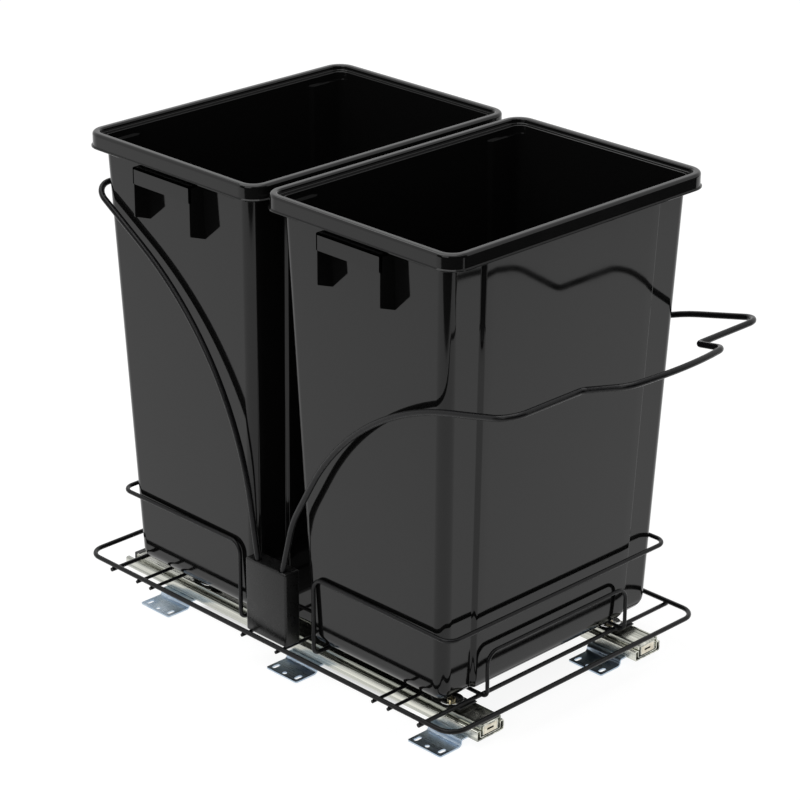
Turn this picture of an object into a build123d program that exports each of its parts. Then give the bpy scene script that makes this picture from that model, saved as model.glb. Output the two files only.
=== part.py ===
from build123d import *
from math import atan2, cos, hypot, radians, sin
import os

# Pull-out bin frame: two plastic bins on a welded wire carriage that runs on a
# pair of ball-bearing slides screwed to a cabinet floor.
# Millimetres. X is to the right seen from the cabinet's front, -Y is the pull-out
# direction and Z is up. The origin is on the cabinet floor, under the middle of the
# whole part's outline, so mid_y below is where the wire base has its centre.

os.makedirs("parts", exist_ok=True)

# Base ring and the straight wires under it
ring_width = 360.0
ring_depth = 547.4
ring_wire = 5.0
ring_corner = 18.0
end_wire = 4.5
cross_wire = 3.5
wire_overhang = 3.0
end_wire_pitch = 463.0
plate_wire_pitch = 379.0
rest_wire_pitch = 336.0
post_wire_pitch = 51.4
weld_gap = 0.2
wire_lift = 4.8

# Slides: a fixed outer member, a half-travel middle member and an inner member
slide_inset = 63.7
slide_length = 530.0
slide_front = 264.0
slide_width = 38.0
slide_height = 11.5
lip_reach = 4.2
outer_sheet = 1.4
middle_width = 28.8
middle_sheet = 1.0
middle_setback = 15.0
middle_base = 2.6
middle_height = 8.4
inner_width = 21.4
inner_sheet = 1.2
inner_setback = 13.0
inner_base = 4.8
inner_height = 10.1
rail_width = 29.0
rail_height = 5.5
rail_sheet = 1.4
rail_ledge = 2.6
rail_recess = 1.1
rail_edge = 0.8
sheet_bend = 1.9
tab_height = 9.0
tab_slot_width = 9.0
tab_slot_height = 2.0
fit_gap = 0.1

# Balls and their cages
outer_ball = 3.0
inner_ball = 2.5
ball_level = 5.9
inner_ball_level = 7.4
cage_sheet = 0.4
cage_wall = 0.8
cage_wall_height = 4.4
cage_length = 240.0
cage_middle = -10.0
ball_pitch = 21.0
balls_a_side = 11
ball_clearance = 0.15

# Rear bumpers in the outer members
bumper_width = 21.0
bumper_height = 14.5
bumper_depth = 6.0
bumper_wall = 3.0
bumper_setback = 5.0

# Floor brackets under the slides
bracket_sheet = 1.6
bracket_height = 8.5
bracket_length = 45.0
bracket_reach = 54.5
bracket_riser = 26.0
bracket_bend = 3.0
bracket_lap = 13.0
foot_corner = 2.0
foot_slot_length = 9.5
foot_slot_width = 4.5
foot_slot_inset = 8.5
foot_slot_pitch = 33.0
foot_hole = 5.0
foot_hole_inset = 5.0
bracket_front_row = -227.0
bracket_middle_row = -22.5
bracket_rear_row = 176.5
rivet_shank = 5.0
rivet_head = 8.5
rivet_head_height = 0.8
rivet_pitch = 22.0
rivet_clearance = 0.1

# Straps, dishes and screws that hold the wire base down on the slides
strap_width = 23.0
strap_sheet = 1.2
strap_bend = 2.0
strap_overlap = 3.0
strap_foot = 3.5
strap_slope = 4.0
strap_end = 12.0
dish_rim = 25.0
dish_base = 17.0
dish_rise = 1.4
dish_sheet = 0.8
frame_screw = 5.0
frame_screw_head = 9.0
frame_screw_head_height = 1.8
frame_screw_length = 8.0
rear_screw_place = 146.0

# Lower hoops, the front guard and its long feet
hoop_wire = 4.5
hoop_inset = 21.5
hoop_end_inset = 19.5
hoop_height = 81.0
hoop_front_leg = 56.5
hoop_rear_leg = 53.5
hoop_front_reach = 248.0
hoop_rear_reach = 238.5
hoop_foot_bend = 7.0
hoop_bend = 13.0
guard_wire = 4.0
guard_inset = 78.75
guard_reach = 244.5
guard_height = 48.0
guard_bend = 13.0
guard_foot_bend = 6.0
guard_foot_end = 194.0

# Pull handle and rear hoop, bent from thicker wire
handle_wire = 6.35
handle_inset = 12.7
handle_post = 23.5
handle_knee_spread = 2.5
handle_knee_place = 40.5
handle_knee_level = 178.6
handle_elbow_spread = 16.3
handle_elbow_place = 135.8
handle_elbow_level = 337.8
handle_corner_spread = 21.2
handle_corner_place = 337.7
handle_corner_level = 384.4
handle_notch_width = 163.0
handle_bow_width = 132.0
handle_bow_depth = 42.3
handle_bow_rise = 13.6
handle_slope = 0.29
notch_bend = 8.0
bow_side_bend = 18.0
bow_bend = 240.0
post_bend = 60.0
knee_bend = 121.0
elbow_bend = 301.0
handle_corner_bend = 21.0
rear_post = 13.5
rear_elbow_spread = 4.7
rear_elbow_place = 46.2
rear_elbow_level = 330.2
rear_corner_spread = 10.6
rear_corner_place = 248.3
rear_corner_level = 458.3
rear_elbow_bend = 342.0
rear_corner_bend = 20.0

# Posts that the handle and the rear hoop are screwed to, under side covers
cover_margin = 5.2
cover_depth = 20.0
cover_length = 60.0
cover_middle = -2.5
cover_top = 118.0
cover_wall = 1.5
cover_corner = 2.5
cover_hole = 8.6
post_sheet = 2.5
post_length = 56.0
post_top = 110.0
post_gap = 0.12
post_screw = 4.0
post_screw_head = 7.5
post_screw_head_height = 2.6
post_screw_low = 60.0
post_screw_high = 96.0
screw_clearance = 0.1

# Bins
bin_inset = 2.0
bin_depth = 254.0
bin_gap = 11.0
bin_middle = -5.0
bin_top = 517.0
bin_rest_gap = 0.3
bin_sheet = 2.4
rim_height = 16.0
rim_sheet = 2.5
rim_bead = 8.0
rim_corner = 21.0
rim_round = 3.0
rim_lip = 1.5
rim_lip_height = 1.6
mouth_depth = 5.2
mouth_round = 2.0
wall_inset_x = 10.0
wall_inset_y = 15.3
wall_draft_x = 17.0
wall_draft_y = 18.1
wall_corner = 12.5
floor_round = 15.0
floor_round_steps = 4
floor_corner_share = 0.4
panel_rise = 4.0
panel_slope = 5.0
shoulder_depth = 13.5
shoulder_rise = 3.6
shoulder_play = 0.2
panel_edge_top = 58.0
panel_edge_floor = 70.0
grip_width = 86.0
grip_reach = 17.0
grip_plate_height = 17.5
grip_sheet = 2.5
grip_fin_height = 58.5
grip_fin_edge = 51.5
grip_top_gap = 1.5

# How far every cut runs past the face that it opens
overrun = 1.0

# Widths and lengths that follow from the ring and the slides
slide_pitch = ring_width - 2 * slide_inset
middle_length = slide_length - middle_setback
inner_length = slide_length - inner_setback
guard_width = ring_width - 2 * guard_inset
handle_width = ring_width - 2 * handle_inset
handle_bow_side = handle_corner_place + handle_bow_depth
handle_bow_point = handle_bow_side + handle_bow_rise
cover_width = handle_width + 2 * cover_margin
bin_width = ring_width - 2 * bin_inset
hoop_width = bin_width - 2 * hoop_inset
hoop_end_width = bin_width - 2 * hoop_end_inset

# Reach of the pull handle's rounded bow, and so the middle of the whole outline
bow_stretch = hypot(1, handle_slope)
bow_turn = atan2((handle_bow_point - handle_bow_side) * bow_stretch, handle_bow_width / 2)
bow_reach = handle_bow_point - bow_bend * (1 / cos(bow_turn) - 1) / bow_stretch
mid_y = (bow_reach + handle_wire / 2 - ring_depth / 2 - ring_wire / 2) / 2

# Heights that follow from the stack of pieces, from the floor up
slide_base = bracket_height
inner_top = slide_base + inner_base + inner_height
rail_web_top = inner_top + fit_gap + rail_sheet
rail_top = rail_web_top + rail_recess
strap_web_top = rail_web_top + fit_gap + strap_sheet
dish_level = strap_web_top + fit_gap
wire_top = rail_top + wire_lift + end_wire
ring_level = wire_top + weld_gap + ring_wire / 2
hoop_level = wire_top - hoop_wire / 2
guard_level = wire_top + weld_gap + guard_wire / 2
bin_base = guard_level + guard_wire / 2 + bin_rest_gap
ring_side = ring_width / 2
slide_sides = {"left": -slide_pitch / 2, "right": slide_pitch / 2}
slide_rear_y = mid_y - slide_front + slide_length
front_screw_place = -(end_wire_pitch + plate_wire_pitch) / 4
screw_places = {"front": front_screw_place, "rear": rear_screw_place}
bracket_rows = [bracket_front_row, bracket_middle_row, bracket_rear_row]
post_screw_levels = [post_screw_low, post_screw_high]


def save(piece, name):
    """Label one finished piece and write it to its own file."""
    piece.label = name
    export_step(piece, f"parts/{name}.step")


def lengthways(x, y, z):
    """A plane that looks along -Y, so that a profile on it is extruded to the front."""
    return Plane(origin=(x, y, z), x_dir=(1, 0, 0), z_dir=(0, -1, 0))


def bend_sheet(plane, points, bend, sheet, length):
    """Extrude a bent strip whose outer face follows the points, anticlockwise."""
    with BuildSketch(plane) as profile:
        with BuildLine():
            FilletPolyline(*points, radius=bend)
            offset(amount=sheet, side=Side.LEFT)
        make_face()
    extrude(profile.sketch, amount=length)


def sweep_wire(points, bends, diameter):
    """Sweep a round wire along straight runs that tangent bends join."""
    with BuildLine() as path:
        FilletPolyline(*points, radius=bends)
    with BuildSketch(Plane(origin=path.line @ 0, z_dir=path.line % 0)) as section:
        Circle(diameter / 2)
    sweep(section.sketch, path=path.line)


# Base ring: one round wire, bent at four corners and butt welded
with BuildPart() as base_ring:
    half_depth = ring_depth / 2
    ring_half = [
        (0, mid_y - half_depth, ring_level),
        (-ring_side, mid_y - half_depth, ring_level),
        (-ring_side, mid_y + half_depth, ring_level),
        (0, mid_y + half_depth, ring_level),
    ]
    sweep_wire(ring_half, [ring_corner, ring_corner], ring_wire)
    mirror(about=Plane.YZ)
save(base_ring.part, "base_ring")

# Cross wires: straight wires welded under the ring, ends just past it
cover_y = mid_y + cover_middle
wire_places = [
    (mid_y - end_wire_pitch / 2, end_wire),
    (mid_y - plate_wire_pitch / 2, cross_wire),
    (mid_y - rest_wire_pitch / 2, cross_wire),
    (cover_y - post_wire_pitch / 2, cross_wire),
    (cover_y + post_wire_pitch / 2, cross_wire),
    (mid_y + rest_wire_pitch / 2, cross_wire),
    (mid_y + plate_wire_pitch / 2, cross_wire),
    (mid_y + end_wire_pitch / 2, end_wire),
]
wire_half = ring_side + wire_overhang
for count, (place, diameter) in enumerate(wire_places, 1):
    with BuildPart() as cross:
        with BuildSketch(Plane.YZ.offset(-wire_half)):
            with Locations((place, wire_top - diameter / 2)):
                Circle(diameter / 2)
        extrude(amount=2 * wire_half)
    save(cross.part, f"cross_wire_{count}")

# Lower hoops: closed wire loops that keep each bin upright
hoop_side = hoop_width / 2
hoop_end_side = hoop_end_width / 2
hoop_top = wire_top + hoop_height + hoop_wire / 2
lower_hoops = {
    "front": (mid_y - hoop_front_leg, mid_y - hoop_front_reach),
    "rear": (mid_y + hoop_rear_leg, mid_y + hoop_rear_reach),
}
for end, (leg_y, reach_y) in lower_hoops.items():
    with BuildPart() as lower_hoop:
        hoop_half = [
            (0, leg_y, hoop_level),
            (-hoop_side, leg_y, hoop_level),
            (-hoop_side, leg_y, hoop_top),
            (-hoop_end_side, reach_y, hoop_top),
            (0, reach_y, hoop_top),
        ]
        sweep_wire(hoop_half, [hoop_foot_bend, hoop_bend, hoop_bend], hoop_wire)
        mirror(about=Plane.YZ)
    save(lower_hoop.part, f"lower_hoop_{end}")

# Front guard: a low arch in front of the bin, whose feet run back on the cross wires
guard_side = guard_width / 2
with BuildPart() as front_guard:
    guard_y = mid_y - guard_reach
    guard_half = [
        (-guard_side, mid_y + guard_foot_end, guard_level),
        (-guard_side, guard_y, guard_level),
        (-guard_side, guard_y, guard_level + guard_height),
        (0, guard_y, guard_level + guard_height),
    ]
    sweep_wire(guard_half, [guard_foot_bend, guard_bend], guard_wire)
    mirror(about=Plane.YZ)
save(front_guard.part, "front_guard")

# Posts: bent plates on the two middle cross wires, drilled for the hoop ends
handle_side = handle_width / 2
post_face = handle_side - handle_wire / 2 - post_gap
post_flange = cover_width / 2 - cover_wall - fit_gap - post_face + post_sheet
post_base = wire_top + weld_gap
hoop_end_places = [-handle_post, rear_post]
for side, sign in {"left": -1, "right": 1}.items():
    with BuildPart() as hoop_post:
        inner_face = post_face - post_sheet
        with BuildSketch(lengthways(0, cover_y + post_length / 2, 0)):
            with Locations((sign * (inner_face + post_flange / 2), post_base + post_sheet / 2)):
                Rectangle(post_flange, post_sheet)
            with Locations((sign * (inner_face + post_sheet / 2), (post_base + post_top) / 2)):
                Rectangle(post_sheet, post_top - post_base)
        extrude(amount=post_length)
        with BuildSketch(Plane.YZ.offset(sign * (inner_face - overrun))):
            for place in hoop_end_places:
                for level in post_screw_levels:
                    with Locations((mid_y + place, level)):
                        Circle(post_screw / 2 + screw_clearance)
        extrude(amount=sign * (post_sheet + 2 * overrun), mode=Mode.SUBTRACT)
    save(hoop_post.part, f"hoop_post_{side}")

# Pull handle and rear hoop: thick wire, up the sides and across, drilled at the feet
hoop_end_level = post_base + post_sheet + fit_gap


def handle_level(place):
    """Height of the handle's sloping front for a distance in front of the ring's centre."""
    return handle_corner_level + handle_slope * (place - handle_corner_place)


def drill_hoop_ends(place):
    """Cross-drill both legs of a hoop for its post screws."""
    with BuildSketch(Plane.YZ.offset(-handle_side)) as holes:
        for level in post_screw_levels:
            with Locations((mid_y + place, level)):
                Circle(post_screw / 2 + screw_clearance)
    extrude(holes.sketch, amount=handle_width, mode=Mode.SUBTRACT)


with BuildPart() as pull_handle:
    knee_side = handle_side + handle_knee_spread / 2
    elbow_side = handle_side + handle_elbow_spread / 2
    corner_side = handle_side + handle_corner_spread / 2
    left_side = [
        (-handle_side, mid_y - handle_post, hoop_end_level),
        (-handle_side, mid_y - handle_post, cover_top),
        (-knee_side, mid_y - handle_knee_place, handle_knee_level),
        (-elbow_side, mid_y - handle_elbow_place, handle_elbow_level),
        (-corner_side, mid_y - handle_corner_place, handle_corner_level),
        (-handle_notch_width / 2, mid_y - handle_corner_place, handle_corner_level),
        (-handle_bow_width / 2, mid_y - handle_bow_side, handle_level(handle_bow_side)),
    ]
    right_side = [(-x, y, z) for x, y, z in reversed(left_side)]
    middle = [(0, mid_y - handle_bow_point, handle_level(handle_bow_point))]
    side_bends = [post_bend, knee_bend, elbow_bend, handle_corner_bend, notch_bend, bow_side_bend]
    handle_bends = side_bends + [bow_bend] + list(reversed(side_bends))
    sweep_wire(left_side + middle + right_side, handle_bends, handle_wire)
    drill_hoop_ends(-handle_post)
save(pull_handle.part, "pull_handle")

with BuildPart() as rear_hoop:
    elbow_side = handle_side + rear_elbow_spread / 2
    corner_side = handle_side + rear_corner_spread / 2
    left_side = [
        (-handle_side, mid_y + rear_post, hoop_end_level),
        (-handle_side, mid_y + rear_post, cover_top),
        (-elbow_side, mid_y + rear_elbow_place, rear_elbow_level),
        (-corner_side, mid_y + rear_corner_place, rear_corner_level),
    ]
    right_side = [(-x, y, z) for x, y, z in reversed(left_side)]
    side_bends = [post_bend, rear_elbow_bend, rear_corner_bend]
    sweep_wire(left_side + right_side, side_bends + list(reversed(side_bends)), handle_wire)
    drill_hoop_ends(rear_post)
save(rear_hoop.part, "rear_hoop")

# Post screws: pan heads inside the posts, shanks into the drilled wire
for side, sign in {"left": -1, "right": 1}.items():
    with BuildPart() as post_screws:
        head_plane = Plane.YZ.offset(sign * (post_face - post_sheet))
        shank_length = post_sheet + post_gap + handle_wire / 2
        for place in hoop_end_places:
            for level in post_screw_levels:
                with BuildSketch(head_plane):
                    with Locations((mid_y + place, level)):
                        Circle(post_screw_head / 2)
                extrude(amount=-sign * post_screw_head_height)
                with BuildSketch(head_plane):
                    with Locations((mid_y + place, level)):
                        Circle(post_screw / 2)
                extrude(amount=sign * shank_length)
    save(post_screws.part, f"post_screws_{side}")

# Side covers: moulded boxes, open below, that stand on the middle cross wires
for side, sign in {"left": -1, "right": 1}.items():
    with BuildPart() as side_cover:
        cover_x = sign * (cover_width - cover_depth) / 2
        cover_plane = Plane((cover_x, cover_y, post_base))
        with BuildSketch(cover_plane):
            Rectangle(cover_depth, cover_length)
        extrude(amount=cover_top - post_base)
        upright_edges = side_cover.edges().filter_by(Axis.Z)
        fillet(upright_edges, cover_corner)
        with BuildSketch(cover_plane.offset(-overrun)):
            Rectangle(cover_depth - 2 * cover_wall, cover_length - 2 * cover_wall)
        extrude(amount=cover_top - post_base - cover_wall + overrun, mode=Mode.SUBTRACT)
        with BuildSketch(Plane.XY.offset(cover_top + overrun)):
            for place in hoop_end_places:
                with Locations((sign * handle_side, mid_y + place)):
                    Circle(cover_hole / 2)
        extrude(amount=-(cover_wall + 2 * overrun), mode=Mode.SUBTRACT)
    save(side_cover.part, f"side_cover_{side}")

# Slides, one set under each side of the ring
middle_half = middle_width / 2
inner_half = inner_width / 2
outer_half = slide_width / 2
lip_gap = outer_half - lip_reach
rail_half = rail_width / 2
hole_radius = frame_screw / 2 + screw_clearance
for side, slide_x in slide_sides.items():
    # Outer member: fixed, open upwards, with lips over the balls
    with BuildPart() as outer_member:
        outer_profile = [
            (-lip_gap, slide_height),
            (-outer_half, slide_height),
            (-outer_half, 0),
            (outer_half, 0),
            (outer_half, slide_height),
            (lip_gap, slide_height),
        ]
        outer_plane = lengthways(slide_x, slide_rear_y, slide_base)
        bend_sheet(outer_plane, outer_profile, sheet_bend, outer_sheet, slide_length)
        with BuildSketch(Plane.XY.offset(slide_base - overrun)):
            for row in bracket_rows:
                with Locations((slide_x, mid_y + row)):
                    with GridLocations(0, rivet_pitch, 1, 2):
                        Circle(rivet_shank / 2 + rivet_clearance)
        extrude(amount=outer_sheet + 2 * overrun, mode=Mode.SUBTRACT)
    save(outer_member.part, f"outer_member_{side}")

    # Middle member: a channel between the two rows of balls
    with BuildPart() as middle_member:
        middle_profile = [
            (-middle_half, middle_base + middle_height),
            (-middle_half, middle_base),
            (middle_half, middle_base),
            (middle_half, middle_base + middle_height),
        ]
        front_y = mid_y - slide_front
        middle_plane = lengthways(slide_x, front_y + middle_length, slide_base)
        bend_sheet(middle_plane, middle_profile, sheet_bend, middle_sheet, middle_length)
    save(middle_member.part, f"middle_member_{side}")

    # Inner member: a channel open downwards, its front closed by a slotted tab
    with BuildPart() as inner_member:
        inner_profile = [
            (inner_half, inner_base),
            (inner_half, inner_base + inner_height),
            (-inner_half, inner_base + inner_height),
            (-inner_half, inner_base),
        ]
        inner_plane = lengthways(slide_x, front_y + inner_length, slide_base)
        bend_sheet(inner_plane, inner_profile, sheet_bend, inner_sheet, inner_length)
        tab_level = inner_top - inner_sheet - tab_height / 2
        tab_fit = inner_width - 2 * inner_sheet
        with BuildSketch(lengthways(slide_x, front_y + inner_sheet, tab_level)):
            Rectangle(tab_fit, tab_height)
            Rectangle(tab_slot_width, tab_slot_height, mode=Mode.SUBTRACT)
        extrude(amount=inner_sheet)
        with BuildSketch(Plane.XY.offset(inner_top + overrun)):
            for place in screw_places.values():
                with Locations((slide_x, mid_y + place)):
                    Circle(hole_radius)
        extrude(amount=-(inner_sheet + 2 * overrun), mode=Mode.SUBTRACT)
    save(inner_member.part, f"inner_member_{side}")

    # Carrier rail: a channel over the inner member, with a shallow recess along its top
    with BuildPart() as carrier_rail:
        rail_plane = lengthways(slide_x, front_y + inner_length, rail_top)
        with BuildSketch(rail_plane):
            with Locations((0, -rail_height / 2)):
                Rectangle(rail_width, rail_height)
        extrude(amount=inner_length)
        top_edges = carrier_rail.faces().sort_by(Axis.Z)[-1].edges().filter_by(Axis.Y)
        fillet(top_edges, rail_edge)
        rail_hollow = rail_height - rail_recess - rail_sheet
        with BuildSketch(rail_plane.offset(-overrun)):
            with Locations((0, overrun - (rail_recess + overrun) / 2)):
                Rectangle(rail_width - 2 * rail_ledge, rail_recess + overrun)
            with Locations((0, -rail_height + (rail_hollow - overrun) / 2)):
                Rectangle(rail_width - 2 * rail_sheet, rail_hollow + overrun)
        extrude(amount=inner_length + 2 * overrun, mode=Mode.SUBTRACT)
        with BuildSketch(Plane.XY.offset(rail_top)):
            for place in screw_places.values():
                with Locations((slide_x, mid_y + place)):
                    Circle(hole_radius)
        extrude(amount=-rail_height, mode=Mode.SUBTRACT)
    save(carrier_rail.part, f"carrier_rail_{side}")

    # Ball cages: thin channels whose walls are pierced for the balls
    outer_ball_half = (outer_half - outer_sheet + middle_half) / 2
    inner_ball_half = (middle_half - middle_sheet + inner_half) / 2
    cage_sets = {
        "outer": (outer_ball_half, outer_ball, outer_sheet, middle_base, ball_level),
        "inner": (inner_ball_half, inner_ball, middle_base + middle_sheet, inner_base, inner_ball_level),
    }
    cage_y = mid_y + cage_middle
    for ring, (ball_half, ball, below, above, level) in cage_sets.items():
        with BuildPart() as ball_cage:
            cage_floor = (below + above - cage_sheet) / 2
            cage_half = ball_half + cage_wall / 2
            cage_top = level + cage_wall_height / 2
            with BuildSketch(lengthways(slide_x, cage_y + cage_length / 2, slide_base)):
                with Locations((0, cage_floor + cage_sheet / 2)):
                    Rectangle(2 * cage_half, cage_sheet)
                with Locations((0, (cage_floor + cage_top) / 2)):
                    with GridLocations(2 * ball_half, 0, 2, 1):
                        Rectangle(cage_wall, cage_top - cage_floor)
            extrude(amount=cage_length)
            with BuildSketch(Plane.YZ.offset(slide_x - cage_half - overrun)):
                with Locations((cage_y, slide_base + level)):
                    with GridLocations(ball_pitch, 0, balls_a_side, 1):
                        Circle(ball / 2 + ball_clearance)
            extrude(amount=2 * (cage_half + overrun), mode=Mode.SUBTRACT)
        save(ball_cage.part, f"{ring}_cage_{side}")

        with BuildPart() as balls:
            with Locations((slide_x, cage_y, slide_base + level)):
                with GridLocations(2 * ball_half, ball_pitch, 2, balls_a_side):
                    Sphere(ball / 2)
        save(balls.part, f"{ring}_balls_{side}")

    # Rear bumper: a plastic arch that stops the inner member
    with BuildPart() as rear_bumper:
        bumper_plane = lengthways(slide_x, slide_rear_y - bumper_setback, slide_base + outer_sheet)
        with BuildSketch(bumper_plane):
            with Locations((0, bumper_height / 2)):
                Rectangle(bumper_width, bumper_height)
            with Locations((0, bumper_height / 2)):
                hole_width = bumper_width - 2 * bumper_wall
                Rectangle(hole_width, bumper_height - 2 * bumper_wall, mode=Mode.SUBTRACT)
        extrude(amount=bumper_depth)
    save(rear_bumper.part, f"rear_bumper_{side}")

    # Floor brackets: bent feet riveted under the outer member
    for row_count, row in enumerate(bracket_rows, 1):
        with BuildPart() as floor_bracket:
            bracket_profile = [
                (bracket_lap, bracket_height),
                (-bracket_riser, bracket_height),
                (-bracket_riser, bracket_sheet),
                (-bracket_reach, bracket_sheet),
            ]
            bracket_y = mid_y + row
            bracket_plane = lengthways(slide_x, bracket_y + bracket_length / 2, 0)
            with BuildSketch(bracket_plane):
                with BuildLine():
                    FilletPolyline(*bracket_profile, radius=bracket_bend)
                    offset(amount=bracket_sheet, side=Side.LEFT)
                make_face()
            extrude(amount=bracket_length)
            foot_edges = floor_bracket.edges().filter_by(Axis.Z).group_by(Axis.X)[0]
            fillet(foot_edges, foot_corner)
            foot_x = slide_x - bracket_reach
            with BuildSketch(Plane.XY.offset(-overrun)):
                with Locations((foot_x + foot_slot_inset, bracket_y)):
                    with GridLocations(0, foot_slot_pitch, 1, 2):
                        SlotOverall(foot_slot_length, foot_slot_width)
                with Locations((foot_x + foot_hole_inset, bracket_y)):
                    Circle(foot_hole / 2)
            extrude(amount=bracket_sheet + 2 * overrun, mode=Mode.SUBTRACT)
            with BuildSketch(Plane.XY.offset(bracket_height + overrun)):
                with Locations((slide_x, bracket_y)):
                    with GridLocations(0, rivet_pitch, 1, 2):
                        Circle(rivet_shank / 2 + rivet_clearance)
            extrude(amount=-(bracket_sheet + 2 * overrun), mode=Mode.SUBTRACT)
        save(floor_bracket.part, f"floor_bracket_{side}_{row_count}")

    # Straps: joggled strips, under two wires at their ends and screwed to the rail
    strap_plane = Plane.YZ.offset(slide_x - strap_width / 2)
    end_flange = wire_top - end_wire - weld_gap
    cross_flange = wire_top - cross_wire - weld_gap
    front_wire_y = mid_y - end_wire_pitch / 2
    front_plate_wire_y = mid_y - plate_wire_pitch / 2
    rear_plate_wire_y = mid_y + plate_wire_pitch / 2
    rest_wire_y = mid_y + rest_wire_pitch / 2
    strap_profiles = {
        "front": [
            (front_plate_wire_y + strap_overlap, cross_flange),
            (front_plate_wire_y - strap_foot, cross_flange),
            (front_plate_wire_y - strap_foot - strap_slope, strap_web_top),
            (front_wire_y + strap_foot + strap_slope, strap_web_top),
            (front_wire_y + strap_foot, end_flange),
            (front_wire_y - strap_overlap, end_flange),
        ],
        "rear": [
            (rear_plate_wire_y + strap_overlap, cross_flange),
            (rest_wire_y - strap_foot, cross_flange),
            (rest_wire_y - strap_foot - strap_slope, strap_web_top),
            (mid_y + rear_screw_place - strap_end, strap_web_top),
        ],
    }
    for end, strap_profile in strap_profiles.items():
        with BuildPart() as frame_strap:
            bend_sheet(strap_plane, strap_profile, strap_bend, strap_sheet, strap_width)
            with BuildSketch(Plane.XY.offset(strap_web_top + overrun)):
                with Locations((slide_x, mid_y + screw_places[end])):
                    Circle(hole_radius)
            extrude(amount=-(strap_sheet + 2 * overrun), mode=Mode.SUBTRACT)
        save(frame_strap.part, f"frame_strap_{side}_{end}")

# Bracket rivets: heads under the flanges, shanks flush inside the outer members
with BuildPart() as bracket_rivets:
    rivet_level = bracket_height - bracket_sheet
    rivet_length = bracket_sheet + outer_sheet
    for slide_x in slide_sides.values():
        for row in bracket_rows:
            with BuildSketch(Plane.XY.offset(rivet_level)):
                with Locations((slide_x, mid_y + row)):
                    with GridLocations(0, rivet_pitch, 1, 2):
                        Circle(rivet_head / 2)
            extrude(amount=-rivet_head_height)
            with BuildSketch(Plane.XY.offset(rivet_level)):
                with Locations((slide_x, mid_y + row)):
                    with GridLocations(0, rivet_pitch, 1, 2):
                        Circle(rivet_shank / 2)
            extrude(amount=rivet_length)
save(bracket_rivets.part, "bracket_rivets")

# Screw dishes: shallow pressed washers with a flared rim, one on each strap
with BuildPart() as screw_dishes:
    for slide_x in slide_sides.values():
        for place in screw_places.values():
            with BuildSketch(lengthways(slide_x, mid_y + place, dish_level)):
                with BuildLine():
                    Polyline(
                        (hole_radius, 0),
                        (dish_base / 2, 0),
                        (dish_rim / 2, dish_rise),
                        (dish_rim / 2, dish_rise + dish_sheet),
                        (dish_base / 2, dish_sheet),
                        (hole_radius, dish_sheet),
                        close=True,
                    )
                make_face()
            revolve(axis=Axis((slide_x, mid_y + place, 0), (0, 0, 1)))
save(screw_dishes.part, "screw_dishes")

# Frame screws: from the dishes down through the strap, the rail and the inner member
with BuildPart() as frame_screws:
    head_level = dish_level + dish_sheet
    for slide_x in slide_sides.values():
        for place in screw_places.values():
            with BuildSketch(Plane.XY.offset(head_level)):
                with Locations((slide_x, mid_y + place)):
                    Circle(frame_screw_head / 2)
            extrude(amount=frame_screw_head_height)
            with BuildSketch(Plane.XY.offset(head_level)):
                with Locations((slide_x, mid_y + place)):
                    Circle(frame_screw / 2)
            extrude(amount=-frame_screw_length)
save(frame_screws.part, "frame_screws")

# Bins: thin moulded shells with drafted walls, a raised panel on each long wall,
# a hollow rim whose bead stands above a shelf, and a hollow grip under each end
wall_height = bin_top - bin_base
wall_top_x = bin_width / 2 - wall_inset_x
wall_top_y = bin_depth / 2 - wall_inset_y
panel_half_top = bin_width / 2 - panel_edge_top
panel_half_floor = bin_width / 2 - panel_edge_floor
rim_base = bin_top - rim_height
shelf_level = bin_top - mouth_depth
shoulder_level = bin_top - shoulder_depth


def wall_outline(center_y, level, skin, inset):
    """Draw the wall's section at a level, moved in by a skin and by a floor rounding."""
    share = (level - bin_base) / wall_height
    half_x = wall_top_x - wall_draft_x * (1 - share) - skin - inset
    half_y = wall_top_y - wall_draft_y * (1 - share) - skin - inset
    panel = panel_half_floor + (panel_half_top - panel_half_floor) * share - skin - inset
    quarter = [(half_x, half_y), (panel + panel_slope, half_y), (panel, half_y + panel_rise)]
    far_side = quarter + [(-x, y) for x, y in reversed(quarter)]
    near_side = [(-x, -y) for x, y in far_side]
    with BuildSketch(Plane((0, center_y, level))) as outline:
        with BuildLine():
            Polyline(*far_side, *near_side, close=True)
        make_face()
        corners = outline.vertices().sort_by(lambda point: hypot(point.X, point.Y))[-4:]
        fillet(corners, wall_corner - skin - floor_corner_share * inset)
    return outline.sketch


def wall_loft(center_y, skin, top_level, mode):
    """Loft the wall from its rounded floor to the top, and add it or cut it out."""
    rounding = floor_round - skin
    outlines = []
    for step in range(floor_round_steps + 1):
        angle = radians(90 * step / floor_round_steps)
        level = bin_base + skin + rounding * (1 - cos(angle))
        outlines.append(wall_outline(center_y, level, skin, rounding * (1 - sin(angle))))
    outlines.append(wall_outline(center_y, top_level, skin, 0))
    loft(outlines, ruled=True, mode=mode)


def rim_outline(center_y, level, inset):
    """Draw the rim's outline at a level, moved in from the rim's outer face."""
    with BuildSketch(Plane((0, center_y, level))) as outline:
        RectangleRounded(bin_width - 2 * inset, bin_depth - 2 * inset, rim_corner - inset)
    return outline.sketch


def shoulder_outline(center_y, level, skin):
    """Draw the wider outline that the wall takes above its shoulder, under the shelf."""
    share = (shoulder_level - bin_base) / wall_height
    half_x = wall_top_x - wall_draft_x * (1 - share) - shoulder_play - skin
    half_y = wall_top_y - wall_draft_y * (1 - share) + shoulder_rise - skin
    with BuildSketch(Plane((0, center_y, level))) as outline:
        RectangleRounded(2 * half_x, 2 * half_y, wall_corner - skin)
    return outline.sketch


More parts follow.
